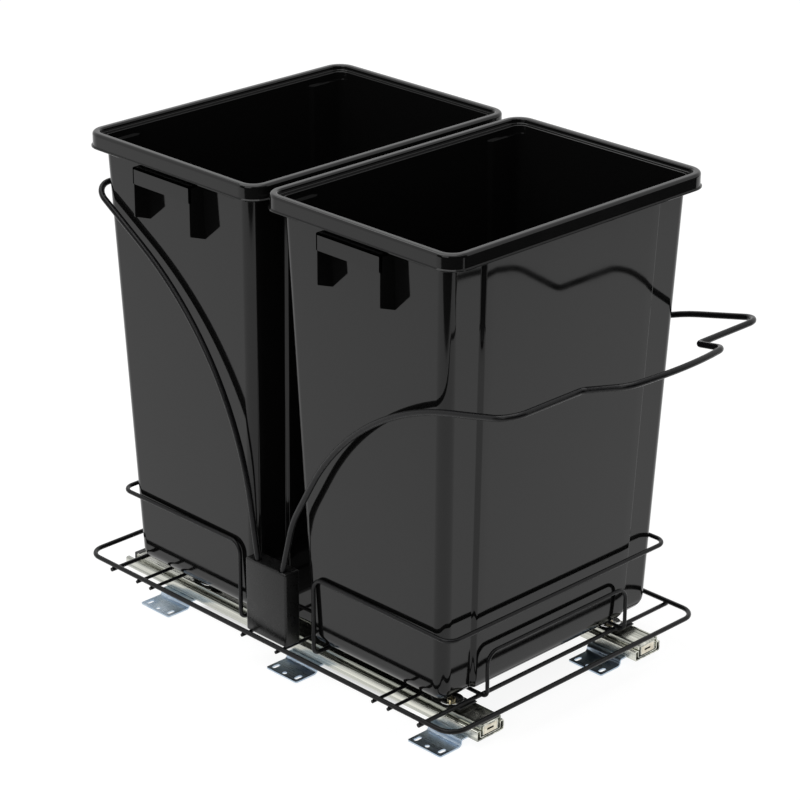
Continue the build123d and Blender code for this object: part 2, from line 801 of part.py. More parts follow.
bin_pitch = bin_depth + bin_gap
bin_centers = {
    "front": mid_y + bin_middle - bin_pitch / 2,
    "rear": mid_y + bin_middle + bin_pitch / 2,
}
for end, center_y in bin_centers.items():
    with BuildPart() as storage_bin:
        # The rim's block, hollow below its shelf and again inside its bead
        extrude(rim_outline(center_y, rim_base, 0), amount=rim_height)
        fillet(storage_bin.faces().sort_by(Axis.Z)[-1].edges(), rim_round)
        shelf_underside = shelf_level - rim_sheet
        skirt_hollow = rim_outline(center_y, rim_base - overrun, rim_sheet)
        extrude(skirt_hollow, amount=shelf_underside - rim_base + overrun, mode=Mode.SUBTRACT)
        bead_hollow = rim_outline(center_y, shelf_underside, rim_sheet)
        bead_core = rim_outline(center_y, shelf_underside, rim_bead - rim_sheet)
        bead_ring = bead_hollow - bead_core
        extrude(bead_ring, amount=bin_top - rim_sheet - shelf_underside, mode=Mode.SUBTRACT)
        lip_ring = rim_outline(center_y, rim_base, -rim_lip) - rim_outline(
            center_y, rim_base, rim_sheet / 2
        )
        extrude(lip_ring, amount=rim_lip_height)

        # The wall up to the shelf and the grips on both ends
        wall_loft(center_y, 0, shelf_level, Mode.ADD)
        shoulder = shoulder_outline(center_y, shoulder_level - bin_sheet, 0)
        extrude(shoulder, amount=shelf_level - shoulder_level + bin_sheet)
        grip_top = rim_base - grip_top_gap
        grip_face = wall_top_x + grip_reach
        grip_root = wall_top_x - 2 * bin_sheet
        for sign in (-1, 1):
            grip_x = sign * (grip_root + grip_face) / 2
            with BuildSketch(Plane((grip_x, center_y, grip_top))):
                Rectangle(grip_face - grip_root, grip_width)
            extrude(amount=-grip_sheet)
            with BuildSketch(Plane((sign * (grip_face - grip_sheet / 2), center_y, grip_top))):
                Rectangle(grip_sheet, grip_width)
            extrude(amount=-grip_plate_height)
            fin_outline = [
                (sign * grip_root, grip_top),
                (sign * grip_face, grip_top),
                (sign * grip_face, grip_top - grip_fin_edge),
                (sign * grip_root, grip_top - grip_fin_height),
            ]
            for fin_side in (-1, 1):
                fin_y = center_y + fin_side * (grip_width - grip_sheet) / 2 + grip_sheet / 2
                with BuildSketch(lengthways(0, fin_y, 0)):
                    with BuildLine():
                        Polyline(*fin_outline, close=True)
                    make_face()
                extrude(amount=grip_sheet)

        # The mouth above the shelf, the inside of the wall and the bead's inner edge
        mouth = rim_outline(center_y, shelf_level, rim_bead)
        extrude(mouth, amount=mouth_depth + overrun, mode=Mode.SUBTRACT)
        wall_loft(center_y, bin_sheet, shelf_level + overrun, Mode.SUBTRACT)
        shoulder_hollow = shoulder_outline(center_y, shoulder_level, bin_sheet)
        extrude(shoulder_hollow, amount=shelf_level - shoulder_level + overrun, mode=Mode.SUBTRACT)
        top_face = storage_bin.faces().sort_by(Axis.Z)[-1]
        fillet(top_face.inner_wires()[0].edges(), mouth_round)
    save(storage_bin.part, f"bin_{end}")
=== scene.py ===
import bmesh
import bpy
from math import atan2, cos, pi, radians, sin, tan
from mathutils import Matrix, Vector


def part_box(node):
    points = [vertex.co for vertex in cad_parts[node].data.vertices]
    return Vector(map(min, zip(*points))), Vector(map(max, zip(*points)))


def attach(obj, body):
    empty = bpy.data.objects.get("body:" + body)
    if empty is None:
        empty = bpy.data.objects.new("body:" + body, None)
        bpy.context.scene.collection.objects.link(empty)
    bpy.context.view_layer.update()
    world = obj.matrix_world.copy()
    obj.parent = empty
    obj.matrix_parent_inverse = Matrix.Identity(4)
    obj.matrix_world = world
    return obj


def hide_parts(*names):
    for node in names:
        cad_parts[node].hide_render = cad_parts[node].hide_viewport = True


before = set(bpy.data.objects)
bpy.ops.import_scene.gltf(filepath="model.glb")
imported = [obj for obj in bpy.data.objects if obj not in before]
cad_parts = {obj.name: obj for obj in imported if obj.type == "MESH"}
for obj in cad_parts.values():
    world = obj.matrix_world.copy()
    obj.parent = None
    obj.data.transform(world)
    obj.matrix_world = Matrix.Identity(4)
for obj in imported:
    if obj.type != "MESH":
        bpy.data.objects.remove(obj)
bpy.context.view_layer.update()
mm = 0.001

# The camera looks down on the frame from its front left, as far away as in a studio
# shot. The frame stands on a white sweep, and a wide soft lamp hangs over it.
ring_low, ring_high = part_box("base_ring")
middle_y = (ring_low.y + ring_high.y) / 2
camera_place = Vector((-1836.8 * mm, middle_y - 1874.2 * mm, 1370.1 * mm))
camera_turn = radians(-44.726)
camera_dip = radians(23.171)
camera_roll = radians(0.28)
camera_data = bpy.data.cameras.new("studio_camera")
camera_data.lens = 125.28
camera_data.sensor_width = 36
camera_data.clip_end = 50
camera = bpy.data.objects.new("studio_camera", camera_data)
bpy.context.collection.objects.link(camera)
swing = Matrix.Rotation(camera_turn, 4, "Z") @ Matrix.Rotation(pi / 2 - camera_dip, 4, "X")
roll = Matrix.Rotation(camera_roll, 4, "Z")
camera.matrix_world = Matrix.Translation(camera_place) @ swing @ roll
bpy.context.scene.camera = camera
bpy.context.scene.view_settings.view_transform = "Standard"


def add_node(tree, kind, values=None, **settings):
    """A new node in a tree, with its settings and the values of its unlinked inputs."""
    node = tree.nodes.new(kind)
    for label, setting in settings.items():
        setattr(node, label, setting)
    for label, value in (values or {}).items():
        node.inputs[label].default_value = value
    return node


def add_math(tree, operation, first, second):
    """One sum of two values, or of a value and a number."""
    node = add_node(tree, "ShaderNodeMath", operation=operation)
    for socket, value in zip(node.inputs, (first, second)):
        if isinstance(value, float):
            socket.default_value = value
        else:
            tree.links.new(value, socket)
    return node.outputs[0]


def light_and_show(tree, light, shown, output_kind):
    """Light the object with one shader, and show another to the camera and to mirrors."""
    rays = add_node(tree, "ShaderNodeLightPath").outputs
    first = add_math(tree, "MAXIMUM", rays["Is Camera Ray"], rays["Is Glossy Ray"])
    seen = add_math(tree, "MAXIMUM", first, rays["Is Transmission Ray"])
    mix = add_node(tree, "ShaderNodeMixShader")
    tree.links.new(seen, mix.inputs["Fac"])
    tree.links.new(light.outputs[0], mix.inputs[1])
    tree.links.new(shown.outputs[0], mix.inputs[2])
    tree.links.new(mix.outputs[0], add_node(tree, output_kind).inputs["Surface"])


white = (1, 1, 1, 1)
studio_world = bpy.data.worlds.new("studio_world")
studio_world.use_nodes = True
world_tree = studio_world.node_tree
world_tree.nodes.clear()
plain_light = add_node(world_tree, "ShaderNodeBackground", {"Color": white, "Strength": 0.45})
white_background = add_node(world_tree, "ShaderNodeBackground", {"Color": white})
light_and_show(world_tree, plain_light, white_background, "ShaderNodeOutputWorld")
bpy.context.scene.world = studio_world

sweep_half = 12.0
sweep_level = -0.2 * mm
square = ((-1, -1), (1, -1), (1, 1), (-1, 1))
sweep_corners = [(x * sweep_half, y * sweep_half, sweep_level) for x, y in square]
sweep_mesh = bpy.data.meshes.new("white_sweep")
sweep_mesh.from_pydata(sweep_corners, [], [(0, 1, 2, 3)])
white_sweep = bpy.data.objects.new("white_sweep", sweep_mesh)
bpy.context.collection.objects.link(white_sweep)
sweep_paper = bpy.data.materials.new("sweep_paper")
sweep_paper.use_nodes = True
sweep_tree = sweep_paper.node_tree
sweep_tree.nodes.clear()
paper_light = add_node(sweep_tree, "ShaderNodeBsdfDiffuse", {"Color": (0.8, 0.8, 0.8, 1)})
paper_shown = add_node(sweep_tree, "ShaderNodeBsdfDiffuse", {"Color": (0.2, 0.2, 0.2, 1)})
paper_glow = add_node(sweep_tree, "ShaderNodeEmission")
paper_sum = add_node(sweep_tree, "ShaderNodeAddShader")
sweep_tree.links.new(paper_shown.outputs[0], paper_sum.inputs[0])
sweep_tree.links.new(paper_glow.outputs[0], paper_sum.inputs[1])
light_and_show(sweep_tree, paper_light, paper_sum, "ShaderNodeOutputMaterial")

# A painted shade dims the paper's glow under the inner half of each bin and goes where the bin
# goes. Elsewhere the paper glows nearly white, with a faint shadow of the frame on it.
shade_reach = {"X": 0.13, "Y": 0.1, "Z": 0.08}
shade_offset = 0.05
shade_inside = 0.03
shade_outside = 0.01
glow = {"To Min": 0.04, "To Max": 0.9}
painted_shade_places = {}
painted_shades = []
for end, shade_y in (("front", middle_y - shade_offset), ("rear", middle_y + shade_offset)):
    painted_shade_places[end] = add_node(sweep_tree, "ShaderNodeTexCoord")
    shade_parts = add_node(sweep_tree, "ShaderNodeSeparateXYZ")
    sweep_tree.links.new(painted_shade_places[end].outputs["Object"], shade_parts.inputs["Vector"])
    fades = []
    for axis, reach in shade_reach.items():
        part = shade_parts.outputs[axis]
        offset = add_math(sweep_tree, "SUBTRACT", part, shade_y if axis == "Y" else 0.0)
        span = {"From Min": reach - shade_inside, "From Max": reach + shade_outside, **glow}
        fade = add_node(sweep_tree, "ShaderNodeMapRange", span, interpolation_type="SMOOTHSTEP")
        sweep_tree.links.new(add_math(sweep_tree, "ABSOLUTE", offset, 0.0), fade.inputs["Value"])
        fades.append(fade.outputs["Result"])
    two_sides = add_math(sweep_tree, "MAXIMUM", fades[0], fades[1])
    painted_shades.append(add_math(sweep_tree, "MAXIMUM", two_sides, fades[2]))
# Where either bin's painted shade lies, the paper's glow is turned down.
darker = add_math(sweep_tree, "MINIMUM", painted_shades[0], painted_shades[1])
sweep_tree.links.new(darker, paper_glow.inputs["Strength"])
sweep_mesh.materials.append(sweep_paper)


def soft_lamp(name, place, size, power):
    """A square lamp that faces the middle of the frame."""
    data = bpy.data.lights.new(name, "AREA")
    data.shape = "SQUARE"
    data.size = size
    data.energy = power
    lamp = bpy.data.objects.new(name, data)
    bpy.context.collection.objects.link(lamp)
    lamp.location = place
    aim = Vector(place) - Vector((0, 0, lamp_aim_height))
    lamp.rotation_euler = aim.to_track_quat("Z", "Y").to_euler()


def dark_card(name, corners):
    """A black card, lying or standing on the sweep, which only glossy surfaces show."""
    mesh = bpy.data.meshes.new(name)
    mesh.from_pydata(corners, [], [(0, 1, 2, 3)])
    card = bpy.data.objects.new(name, mesh)
    bpy.context.collection.objects.link(card)
    card.visible_camera = False
    card.visible_diffuse = False
    card.visible_transmission = False
    card.visible_shadow = False
    mesh.materials.append(card_black)


card_black = bpy.data.materials.new("card_black")
card_black.use_nodes = True
card_shader = card_black.node_tree.nodes["Principled BSDF"]
card_shader.inputs["Base Color"].default_value = (0.01, 0.01, 0.01, 1)
card_shader.inputs["Roughness"].default_value = 1.0
card_level = 1 * mm
near_edge = 1.02
far_edge = 6.0
toward = Vector((-0.70, -0.714))
sideways = Vector((-toward.y, toward.x))
near_card = []
for reach, side in ((near_edge, -1), (far_edge, -1), (far_edge, 1), (near_edge, 1)):
    place = toward * reach + sideways * side * far_edge
    near_card.append((place.x, place.y, card_level))
dark_card("camera_side_card", near_card)
side_edge = 0.3
right_xs = (side_edge, far_edge, far_edge, side_edge)
right_ys = (-far_edge, -far_edge, -near_edge, -near_edge)
dark_card("right_side_card", [(x, y, card_level) for x, y in zip(right_xs, right_ys)])
band_cards = 12
band_reach = 4.0
band_foot = 0.05
band_height = 3.2
least_facing = 0.2
for count in range(band_cards):
    start, end = (2 * pi * (count + step) / band_cards for step in (0, 1))
    middle = (start + end) / 2
    if Vector((cos(middle), sin(middle))).dot(toward) < least_facing:
        continue
    foot = [(band_reach * cos(turn), band_reach * sin(turn), band_foot) for turn in (start, end)]
    top = [(x, y, band_height) for x, y, z in reversed(foot)]
    dark_card(f"band_card_{count + 1}", foot + top)
lamp_aim_height = 0.25
soft_lamp("overhead_lamp", (-0.3, 0.4, 2.6), 2.4, 42)
soft_lamp("left_lamp", (-2.6, -0.6, 1.5), 1.6, 16)

# Floor brackets: short strips of blue zinc-plated steel, bent twice into a step. A foot
# lies on the cabinet floor, pierced with two slots and a hole, and a flange carries the slide.
bracket_sheet = 1.6 * mm
bracket_height = 8.5 * mm
bracket_bend = 3.0 * mm
bracket_reach = 54.5 * mm
bracket_riser = 26.0 * mm
bracket_lap = 13.0 * mm
foot_slot = (9.5 * mm, 4.5 * mm)
foot_slot_inset = 8.5 * mm
foot_slot_pitch = 33.0 * mm
foot_hole = 5.0 * mm
foot_hole_inset = 5.0 * mm
foot_corner = 2.0 * mm
bracket_edge = 0.2 * mm
nearly_round = 0.999


def new_finish(name, color, metallic, roughness, **others):
    """A material whose plain values are set on the shader's own sockets."""
    material = bpy.data.materials.new(name)
    material.use_nodes = True
    values = {"Base Color": (*color, 1), "Metallic": metallic, "Roughness": roughness, **others}
    for label, value in values.items():
        shader_of(material).inputs[label].default_value = value
    return material


def shader_of(material):
    """The shader that a new material starts with."""
    return material.node_tree.nodes["Principled BSDF"]


def grain(material, per_metre, detail=2.0, rough=0.5):
    """Noise on the piece's own coordinates, with so many cells a metre along X, Y and Z."""
    tree = material.node_tree
    coordinates = add_node(tree, "ShaderNodeTexCoord")
    mapping = add_node(tree, "ShaderNodeMapping", {"Scale": per_metre})
    levels = {"Scale": 1.0, "Detail": detail, "Roughness": rough}
    noise = add_node(tree, "ShaderNodeTexNoise", levels)
    tree.links.new(coordinates.outputs["Object"], mapping.inputs["Vector"])
    tree.links.new(mapping.outputs["Vector"], noise.inputs["Vector"])
    return noise.outputs["Fac"]


def spread(material, factor, low, high):
    """Turn a noise into a range of roughness."""
    tree = material.node_tree
    levels = {"From Min": 0.3, "From Max": 0.7, "To Min": low, "To Max": high}
    span = add_node(tree, "ShaderNodeMapRange", levels)
    tree.links.new(factor, span.inputs["Value"])
    tree.links.new(span.outputs["Result"], shader_of(material).inputs["Roughness"])


def tint(material, factor, first, second):
    """Blend two colours by a noise."""
    tree = material.node_tree
    ramp = add_node(tree, "ShaderNodeValToRGB")
    for stop, place, color in zip(ramp.color_ramp.elements, (0.35, 0.65), (first, second)):
        stop.position = place
        stop.color = (*color, 1)
    tree.links.new(factor, ramp.inputs["Fac"])
    tree.links.new(ramp.outputs["Color"], shader_of(material).inputs["Base Color"])


def emboss(material, factor, depth, strength=1.0):
    """Raise the surface by a noise, to a depth in metres."""
    tree = material.node_tree
    bump = add_node(tree, "ShaderNodeBump", {"Distance": depth, "Strength": strength})
    tree.links.new(factor, bump.inputs["Height"])
    tree.links.new(bump.outputs["Normal"], shader_of(material).inputs["Normal"])


def bent_strip(points, bend, sheet, steps=6):
    """Matching points on both faces of a bent strip, from its outer face's corners."""
    outer, inner = [], []

    def add(point, heading):
        """One point on the outer face and its match on the inner face, to the left."""
        outer.append(tuple(point))
        inner.append((point.x - heading.y * sheet, point.y + heading.x * sheet))

    corners = [Vector(point) for point in points]
    heading = (corners[1] - corners[0]).normalized()
    add(corners[0], heading)
    for corner, after in zip(corners[1:], corners[2:]):
        leave = (after - corner).normalized()
        turn = atan2(heading.x * leave.y - heading.y * leave.x, heading.dot(leave))
        way = 1 if turn > 0 else -1
        start = corner - heading * bend * tan(abs(turn) / 2)
        center = start + Vector((-heading.y, heading.x)) * bend * way
        for step in range(steps + 1):
            facing = Matrix.Rotation(turn * step / steps, 2) @ heading
            add(center - Vector((-facing.y, facing.x)) * bend * way, facing)
        heading = leave
    add(corners[-1], heading)
    section = outer + inner[::-1]
    count = len(section)
    caps = [(i, i + 1, count - 2 - i, count - 1 - i) for i in range(len(outer) - 1)]
    return section, caps


along_x = Vector((1, 0, 0))
along_y = Vector((0, 1, 0))
along_z = Vector((0, 0, 1))


def run_section(name, section, caps, origin, along, across=along_x, up=along_z):
    """Run a section along a vector into one closed mesh object."""
    count = len(section)
    near = [origin + across * u + up * v for u, v in section]
    far = [point + along for point in near]
    sides = [(i, (i + 1) % count, count + (i + 1) % count, count + i) for i in range(count)]
    ends = list(caps) + [tuple(count + i for i in reversed(cap)) for cap in caps]
    mesh = bpy.data.meshes.new(name)
    mesh.from_pydata([tuple(point) for point in near + far], [], sides + ends)
    return new_piece(name, mesh)


def new_piece(name, mesh):
    """Link a mesh as a piece, with its faces turned outwards."""
    shape = bmesh.new()
    shape.from_mesh(mesh)
    return piece_from(name, shape, mesh)


def piece_from(name, shape, mesh=None):
    """Link an edited shape as a piece, with its faces turned outwards."""
    mesh = mesh or bpy.data.meshes.new(name)
    bmesh.ops.recalc_face_normals(shape, faces=shape.faces)
    shape.to_mesh(mesh)
    shape.free()
    piece = bpy.data.objects.new(name, mesh)
    bpy.context.collection.objects.link(piece)
    return piece


def make_plain(piece):
    """Keep the mesh that a piece's modifiers make, and drop the modifiers."""
    bpy.context.view_layer.update()
    shown = piece.evaluated_get(bpy.context.evaluated_depsgraph_get())
    mesh = bpy.data.meshes.new_from_object(shown)
    piece.modifiers.clear()
    piece.data = mesh


def cut_out(piece, cutters):
    """Cut closed meshes out of a piece."""
    for cutter in cutters:
        cut = piece.modifiers.new("cut", "BOOLEAN")
        cut.operation = "DIFFERENCE"
        cut.solver = "EXACT"
        cut.object = cutter
    make_plain(piece)
    for cutter in cutters:
        bpy.data.objects.remove(cutter)


def break_edges(piece, width, segments=2, limit=50):
    """Take the sharp corners off a piece and shade its bends smooth."""
    bevel = piece.modifiers.new("broken edges", "BEVEL")
    bevel.width = width
    bevel.segments = segments
    bevel.limit_method = "ANGLE"
    bevel.angle_limit = radians(limit)
    bevel.harden_normals = False
    make_plain(piece)
    shade_bends(piece, 35)


def shade_bends(piece, limit):
    """Shade smooth across gentle angles and keep sharp ones sharp."""
    piece.data.shade_smooth()
    piece.data.set_sharp_from_angle(angle=radians(limit))


def give(piece, finish, body, slot, *nodes):
    """Finish a piece, let it ride on its body and stand for its nodes."""
    piece.data.materials.clear()
    piece.data.materials.append(finish)
    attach(piece, body)
    if nodes:
        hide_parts(*nodes)


def punch(name, place, length, width, depth, steps=12):
    """A round-ended cutter that lies along X, for a slot or a hole."""
    straight = (length - width) / 2
    ends = []
    for step in range(2 * steps):
        angle = pi * (step + 0.5) / steps - pi / 2
        shift = straight if cos(angle) > 0 else -straight
        ends.append((shift + width / 2 * cos(angle), width / 2 * sin(angle)))
    cap = tuple(range(2 * steps))
    low = Vector(place) - along_z * depth / 2
    return run_section(name, ends, [cap], low, along_z * depth, up=along_y)


bracket_zinc = new_finish("bracket_zinc", (0.42, 0.52, 0.62), 1.0, 0.3)
bracket_cloud = grain(bracket_zinc, (60, 60, 60), 3.0)
tint(bracket_zinc, bracket_cloud, (0.36, 0.46, 0.58), (0.52, 0.60, 0.68))
bracket_lines = grain(bracket_zinc, (900, 60, 900), 2.0)
spread(bracket_zinc, bracket_lines, 0.24, 0.4)
emboss(bracket_zinc, bracket_lines, 0.02 * mm)

bracket_points = [
    (bracket_lap, bracket_height),
    (-bracket_riser, bracket_height),
    (-bracket_riser, bracket_sheet),
    (-bracket_reach, bracket_sheet),
]
for side in ("left", "right"):
    slide_low, slide_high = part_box(f"outer_member_{side}")
    slide_x = (slide_low.x + slide_high.x) / 2
    for row in (1, 2, 3):
        node = f"floor_bracket_{side}_{row}"
        low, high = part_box(node)
        section, caps = bent_strip(bracket_points, bracket_bend, bracket_sheet)
        corner = Vector((slide_x, low.y, 0))
        width = along_y * (high.y - low.y)
        bracket = run_section(node + "_bend", section, caps, corner, width)
        row_y = (low.y + high.y) / 2
        cutters = []
        for step in (-1, 1):
            place = (low.x + foot_slot_inset, row_y + step * foot_slot_pitch / 2, 0)
            cutters.append(punch("slot", place, *foot_slot, 4 * bracket_sheet))
        place = (low.x + foot_hole_inset, row_y, 0)
        cutters.append(punch("hole", place, foot_hole, foot_hole * nearly_round, 4 * bracket_sheet))
        for step in (-1, 1):
            corner_x = low.x + foot_corner
            corner_y = row_y + step * (width.y / 2 - foot_corner)
            trim = []
            for part in range(7):
                angle = pi - step * pi / 2 * part / 6
                x = corner_x + foot_corner * cos(angle)
                trim.append((x, corner_y + foot_corner * sin(angle)))
            beyond_x = corner_x - 2 * foot_corner
            beyond_y = corner_y + step * 2 * foot_corner
            trim += [(corner_x, beyond_y), (beyond_x, beyond_y), (beyond_x, corner_y)]
            trim_cap = [tuple(range(len(trim)))]
            start = along_z * -2 * bracket_sheet
            height = along_z * 4 * bracket_sheet
            cutters.append(run_section("trim", trim, trim_cap, start, height, up=along_y))
        cut_out(bracket, cutters)
        break_edges(bracket, bracket_edge)
        give(bracket, bracket_zinc, "rails", "bracket_steel", node)

# Bracket rivets: plain steel, two through each flange and the slide above it, with a low
# round head formed underneath and a flush head inside the slide.
rivet_head = 8.5 * mm
rivet_shank = 5.0 * mm
rivet_head_height = 0.8 * mm
rivet_pitch = 22.0 * mm
rivet_grip = 3.0 * mm


def turned_piece(name, profile, steps=32, matrix=None):
    """Turn a profile of radius and height, from pole to pole, into a closed mesh object."""
    inside = [(radius, height) for radius, height in profile if radius > 0]
    verts = []
    for step in range(steps):
        angle = 2 * pi * step / steps
        verts += [(radius * cos(angle), radius * sin(angle), height) for radius, height in inside]
    count = len(inside)
    faces = []
    closed = profile[0][0] > 0
    for step in range(steps):
        here, there = step * count, (step + 1) % steps * count
        rows = range(count) if closed else range(count - 1)
        for i in rows:
            after = (i + 1) % count
            faces.append((here + i, there + i, there + after, here + after))
    if not closed:
        verts += [(0, 0, profile[0][1]), (0, 0, profile[-1][1])]
        for step in range(steps):
            here, there = step * count, (step + 1) % steps * count
            faces.append((len(verts) - 2, there, here))
            faces.append((len(verts) - 1, here + count - 1, there + count - 1))
    mesh = bpy.data.meshes.new(name)
    mesh.from_pydata(verts, [], faces)
    if matrix:
        mesh.transform(matrix)
    return new_piece(name, mesh)


def add_input(tree, label, kind, value=None):
    """Give a tree one named input."""
    socket = tree.interface.new_socket(label, in_out="INPUT", socket_type=kind)
    if value is not None:
        socket.default_value = value


def finish_tree(tree, given, solid):
    """Make a tree's result real, put its finish on it and hand it out."""
    tree.interface.new_socket("Geometry", in_out="OUTPUT", socket_type="NodeSocketGeometry")
    realize = add_node(tree, "GeometryNodeRealizeInstances")
    paint = add_node(tree, "GeometryNodeSetMaterial")
    tree.links.new(solid, realize.inputs["Geometry"])
    tree.links.new(realize.outputs["Geometry"], paint.inputs["Geometry"])
    tree.links.new(given["finish"], paint.inputs["Material"])
    result = add_node(tree, "NodeGroupOutput")
    tree.links.new(paint.outputs["Geometry"], result.inputs["Geometry"])


def set_inputs(modifier, **values):
    """Set a modifier's inputs by their identifiers, from their names."""
    for item in modifier.node_group.interface.items_tree:
        if item.item_type == "SOCKET" and item.in_out == "INPUT" and item.name in values:
            modifier[item.identifier] = values[item.name]


def copies_tree():
    """A tree that stands a copy of one small pattern on every point, each turned at random."""
    tree = bpy.data.node_groups.new("copies_on_points", "GeometryNodeTree")
    add_input(tree, "Geometry", "NodeSocketGeometry")
    add_input(tree, "pattern", "NodeSocketObject")
    add_input(tree, "most_turn", "NodeSocketVector", (0, 0, 0))
    add_input(tree, "least_size", "NodeSocketFloat", 1.0)
    add_input(tree, "seed", "NodeSocketInt", 1)
    add_input(tree, "finish", "NodeSocketMaterial")
    given = add_node(tree, "NodeGroupInput").outputs
    pattern = add_node(tree, "GeometryNodeObjectInfo", transform_space="ORIGINAL")
    turn = add_node(tree, "FunctionNodeRandomValue", data_type="FLOAT_VECTOR")
    size = add_node(tree, "FunctionNodeRandomValue", data_type="FLOAT")
    place = add_node(tree, "GeometryNodeInstanceOnPoints")
    links = tree.links
    links.new(given["pattern"], pattern.inputs["Object"])
    links.new(given["most_turn"], turn.inputs["Max"])
    links.new(given["seed"], turn.inputs["Seed"])
    links.new(given["least_size"], size.inputs[2])
    size.inputs[3].default_value = 1.0
    links.new(given["seed"], size.inputs["Seed"])
    links.new(given["Geometry"], place.inputs["Points"])
    links.new(pattern.outputs["Geometry"], place.inputs["Instance"])
    links.new(turn.outputs["Value"], place.inputs["Rotation"])
    links.new(size.outputs[1], place.inputs["Scale"])
    finish_tree(tree, given, place.outputs["Instances"])
    return tree


copies_on_points = copies_tree()


def copy_to(name, pattern, places, finish, turn=(0, 0, 0), least_size=1.0, seed=1):
    """Copies of a pattern at the places, as one plain mesh. The pattern itself is removed."""
    mesh = bpy.data.meshes.new(name)
    mesh.from_pydata([tuple(place) for place in places], [], [])
    piece = bpy.data.objects.new(name, mesh)
    bpy.context.collection.objects.link(piece)
    modifier = piece.modifiers.new("copies", "NODES")
    modifier.node_group = copies_on_points
    set_inputs(modifier, pattern=pattern, most_turn=turn, least_size=least_size)
    set_inputs(modifier, seed=seed, finish=finish)
    make_plain(piece)
    bpy.data.objects.remove(pattern)
    shade_bends(piece, 40)
    return piece


rivet_steel = new_finish("rivet_steel", (0.6, 0.6, 0.58), 1.0, 0.35)
spread(rivet_steel, grain(rivet_steel, (800, 800, 800), 3.0), 0.28, 0.48)
rivet_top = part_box("bracket_rivets")[1].z
rivet_edge = 0.2 * mm


def quarter_turn(steps):
    """The sine and cosine at even steps of a quarter turn, from zero."""
    return [(sin(pi / 2 * step / steps), cos(pi / 2 * step / steps)) for step in range(steps + 1)]


rivet_profile = [(0, -rivet_grip - rivet_head_height)]
for out, down in quarter_turn(5)[1:]:
    rivet_profile.append((rivet_head / 2 * out, -rivet_grip - rivet_head_height * down))
shank_radius = rivet_shank / 2
rivet_profile += [(shank_radius, -rivet_grip), (shank_radius, -rivet_edge)]
rivet_profile += [(shank_radius - rivet_edge, 0), (0, 0)]
rivet_places = []
for side in ("left", "right"):
    slide_low, slide_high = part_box(f"outer_member_{side}")
    for row in (1, 2, 3):
        low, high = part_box(f"floor_bracket_{side}_{row}")
        for step in (-1, 1):
            rivet_y = (low.y + high.y) / 2 + step * rivet_pitch / 2
            rivet_places.append(((slide_low.x + slide_high.x) / 2, rivet_y, rivet_top))
rivet = turned_piece("rivet", rivet_profile)
rivets = copy_to("bracket_rivet_heads", rivet, rivet_places, rivet_steel)
give(rivets, rivet_steel, "rails", "rivet_steel", "bracket_rivets")

# Slide members: cold-rolled zinc-plated steel channels, one inside the other. The outer
# one is riveted to the brackets, the middle one runs in it on balls, and the inner one in that.
sheet_bend = 1.9 * mm
slide_width = 38.0 * mm
slide_height = 11.5 * mm
lip_reach = 4.2 * mm
outer_sheet = 1.4 * mm
middle_width = 28.8 * mm
middle_height = 8.4 * mm
middle_sheet = 1.0 * mm
inner_width = 21.4 * mm
inner_height = 10.1 * mm
inner_sheet = 1.2 * mm
tab_height = 9.0 * mm
tab_slot = (9.0 * mm, 2.0 * mm)
member_edge = 0.15 * mm
tab_edge = 0.2 * mm

rolled_zinc = new_finish("rolled_zinc", (0.8, 0.8, 0.76), 1.0, 0.25)
rolled_cloud = grain(rolled_zinc, (170, 1.5, 170), 2.0)
tint(rolled_zinc, rolled_cloud, (0.24, 0.25, 0.23), (0.78, 0.78, 0.70))
rolled_lines = grain(rolled_zinc, (1600, 6, 1600), 3.0, 0.7)
spread(rolled_zinc, rolled_lines, 0.16, 0.34)
emboss(rolled_zinc, rolled_lines, 0.004 * mm, 0.5)

tab_zinc = new_finish("tab_zinc", (0.7, 0.66, 0.54), 1.0, 0.3)
tab_cloud = grain(tab_zinc, (200, 200, 200), 3.0)
tint(tab_zinc, tab_cloud, (0.60, 0.55, 0.44), (0.78, 0.74, 0.62))
spread(tab_zinc, grain(tab_zinc, (900, 900, 900), 2.0), 0.2, 0.36)


def block_section(half, low, high):
    """The four corners of an upright oblong."""
    return [(-half, low), (half, low), (half, high), (-half, high)]


def slide_member(node, points, sheet):
    """A channel as long as its node, from the corners of its outer face."""
    low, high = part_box(node)
    section, caps = bent_strip(points, sheet_bend, sheet)
    start = Vector(((low.x + high.x) / 2, low.y, low.z))
    member = run_section(node + "_rolled", section, caps, start, along_y * (high.y - low.y))
    break_edges(member, member_edge)
    return member


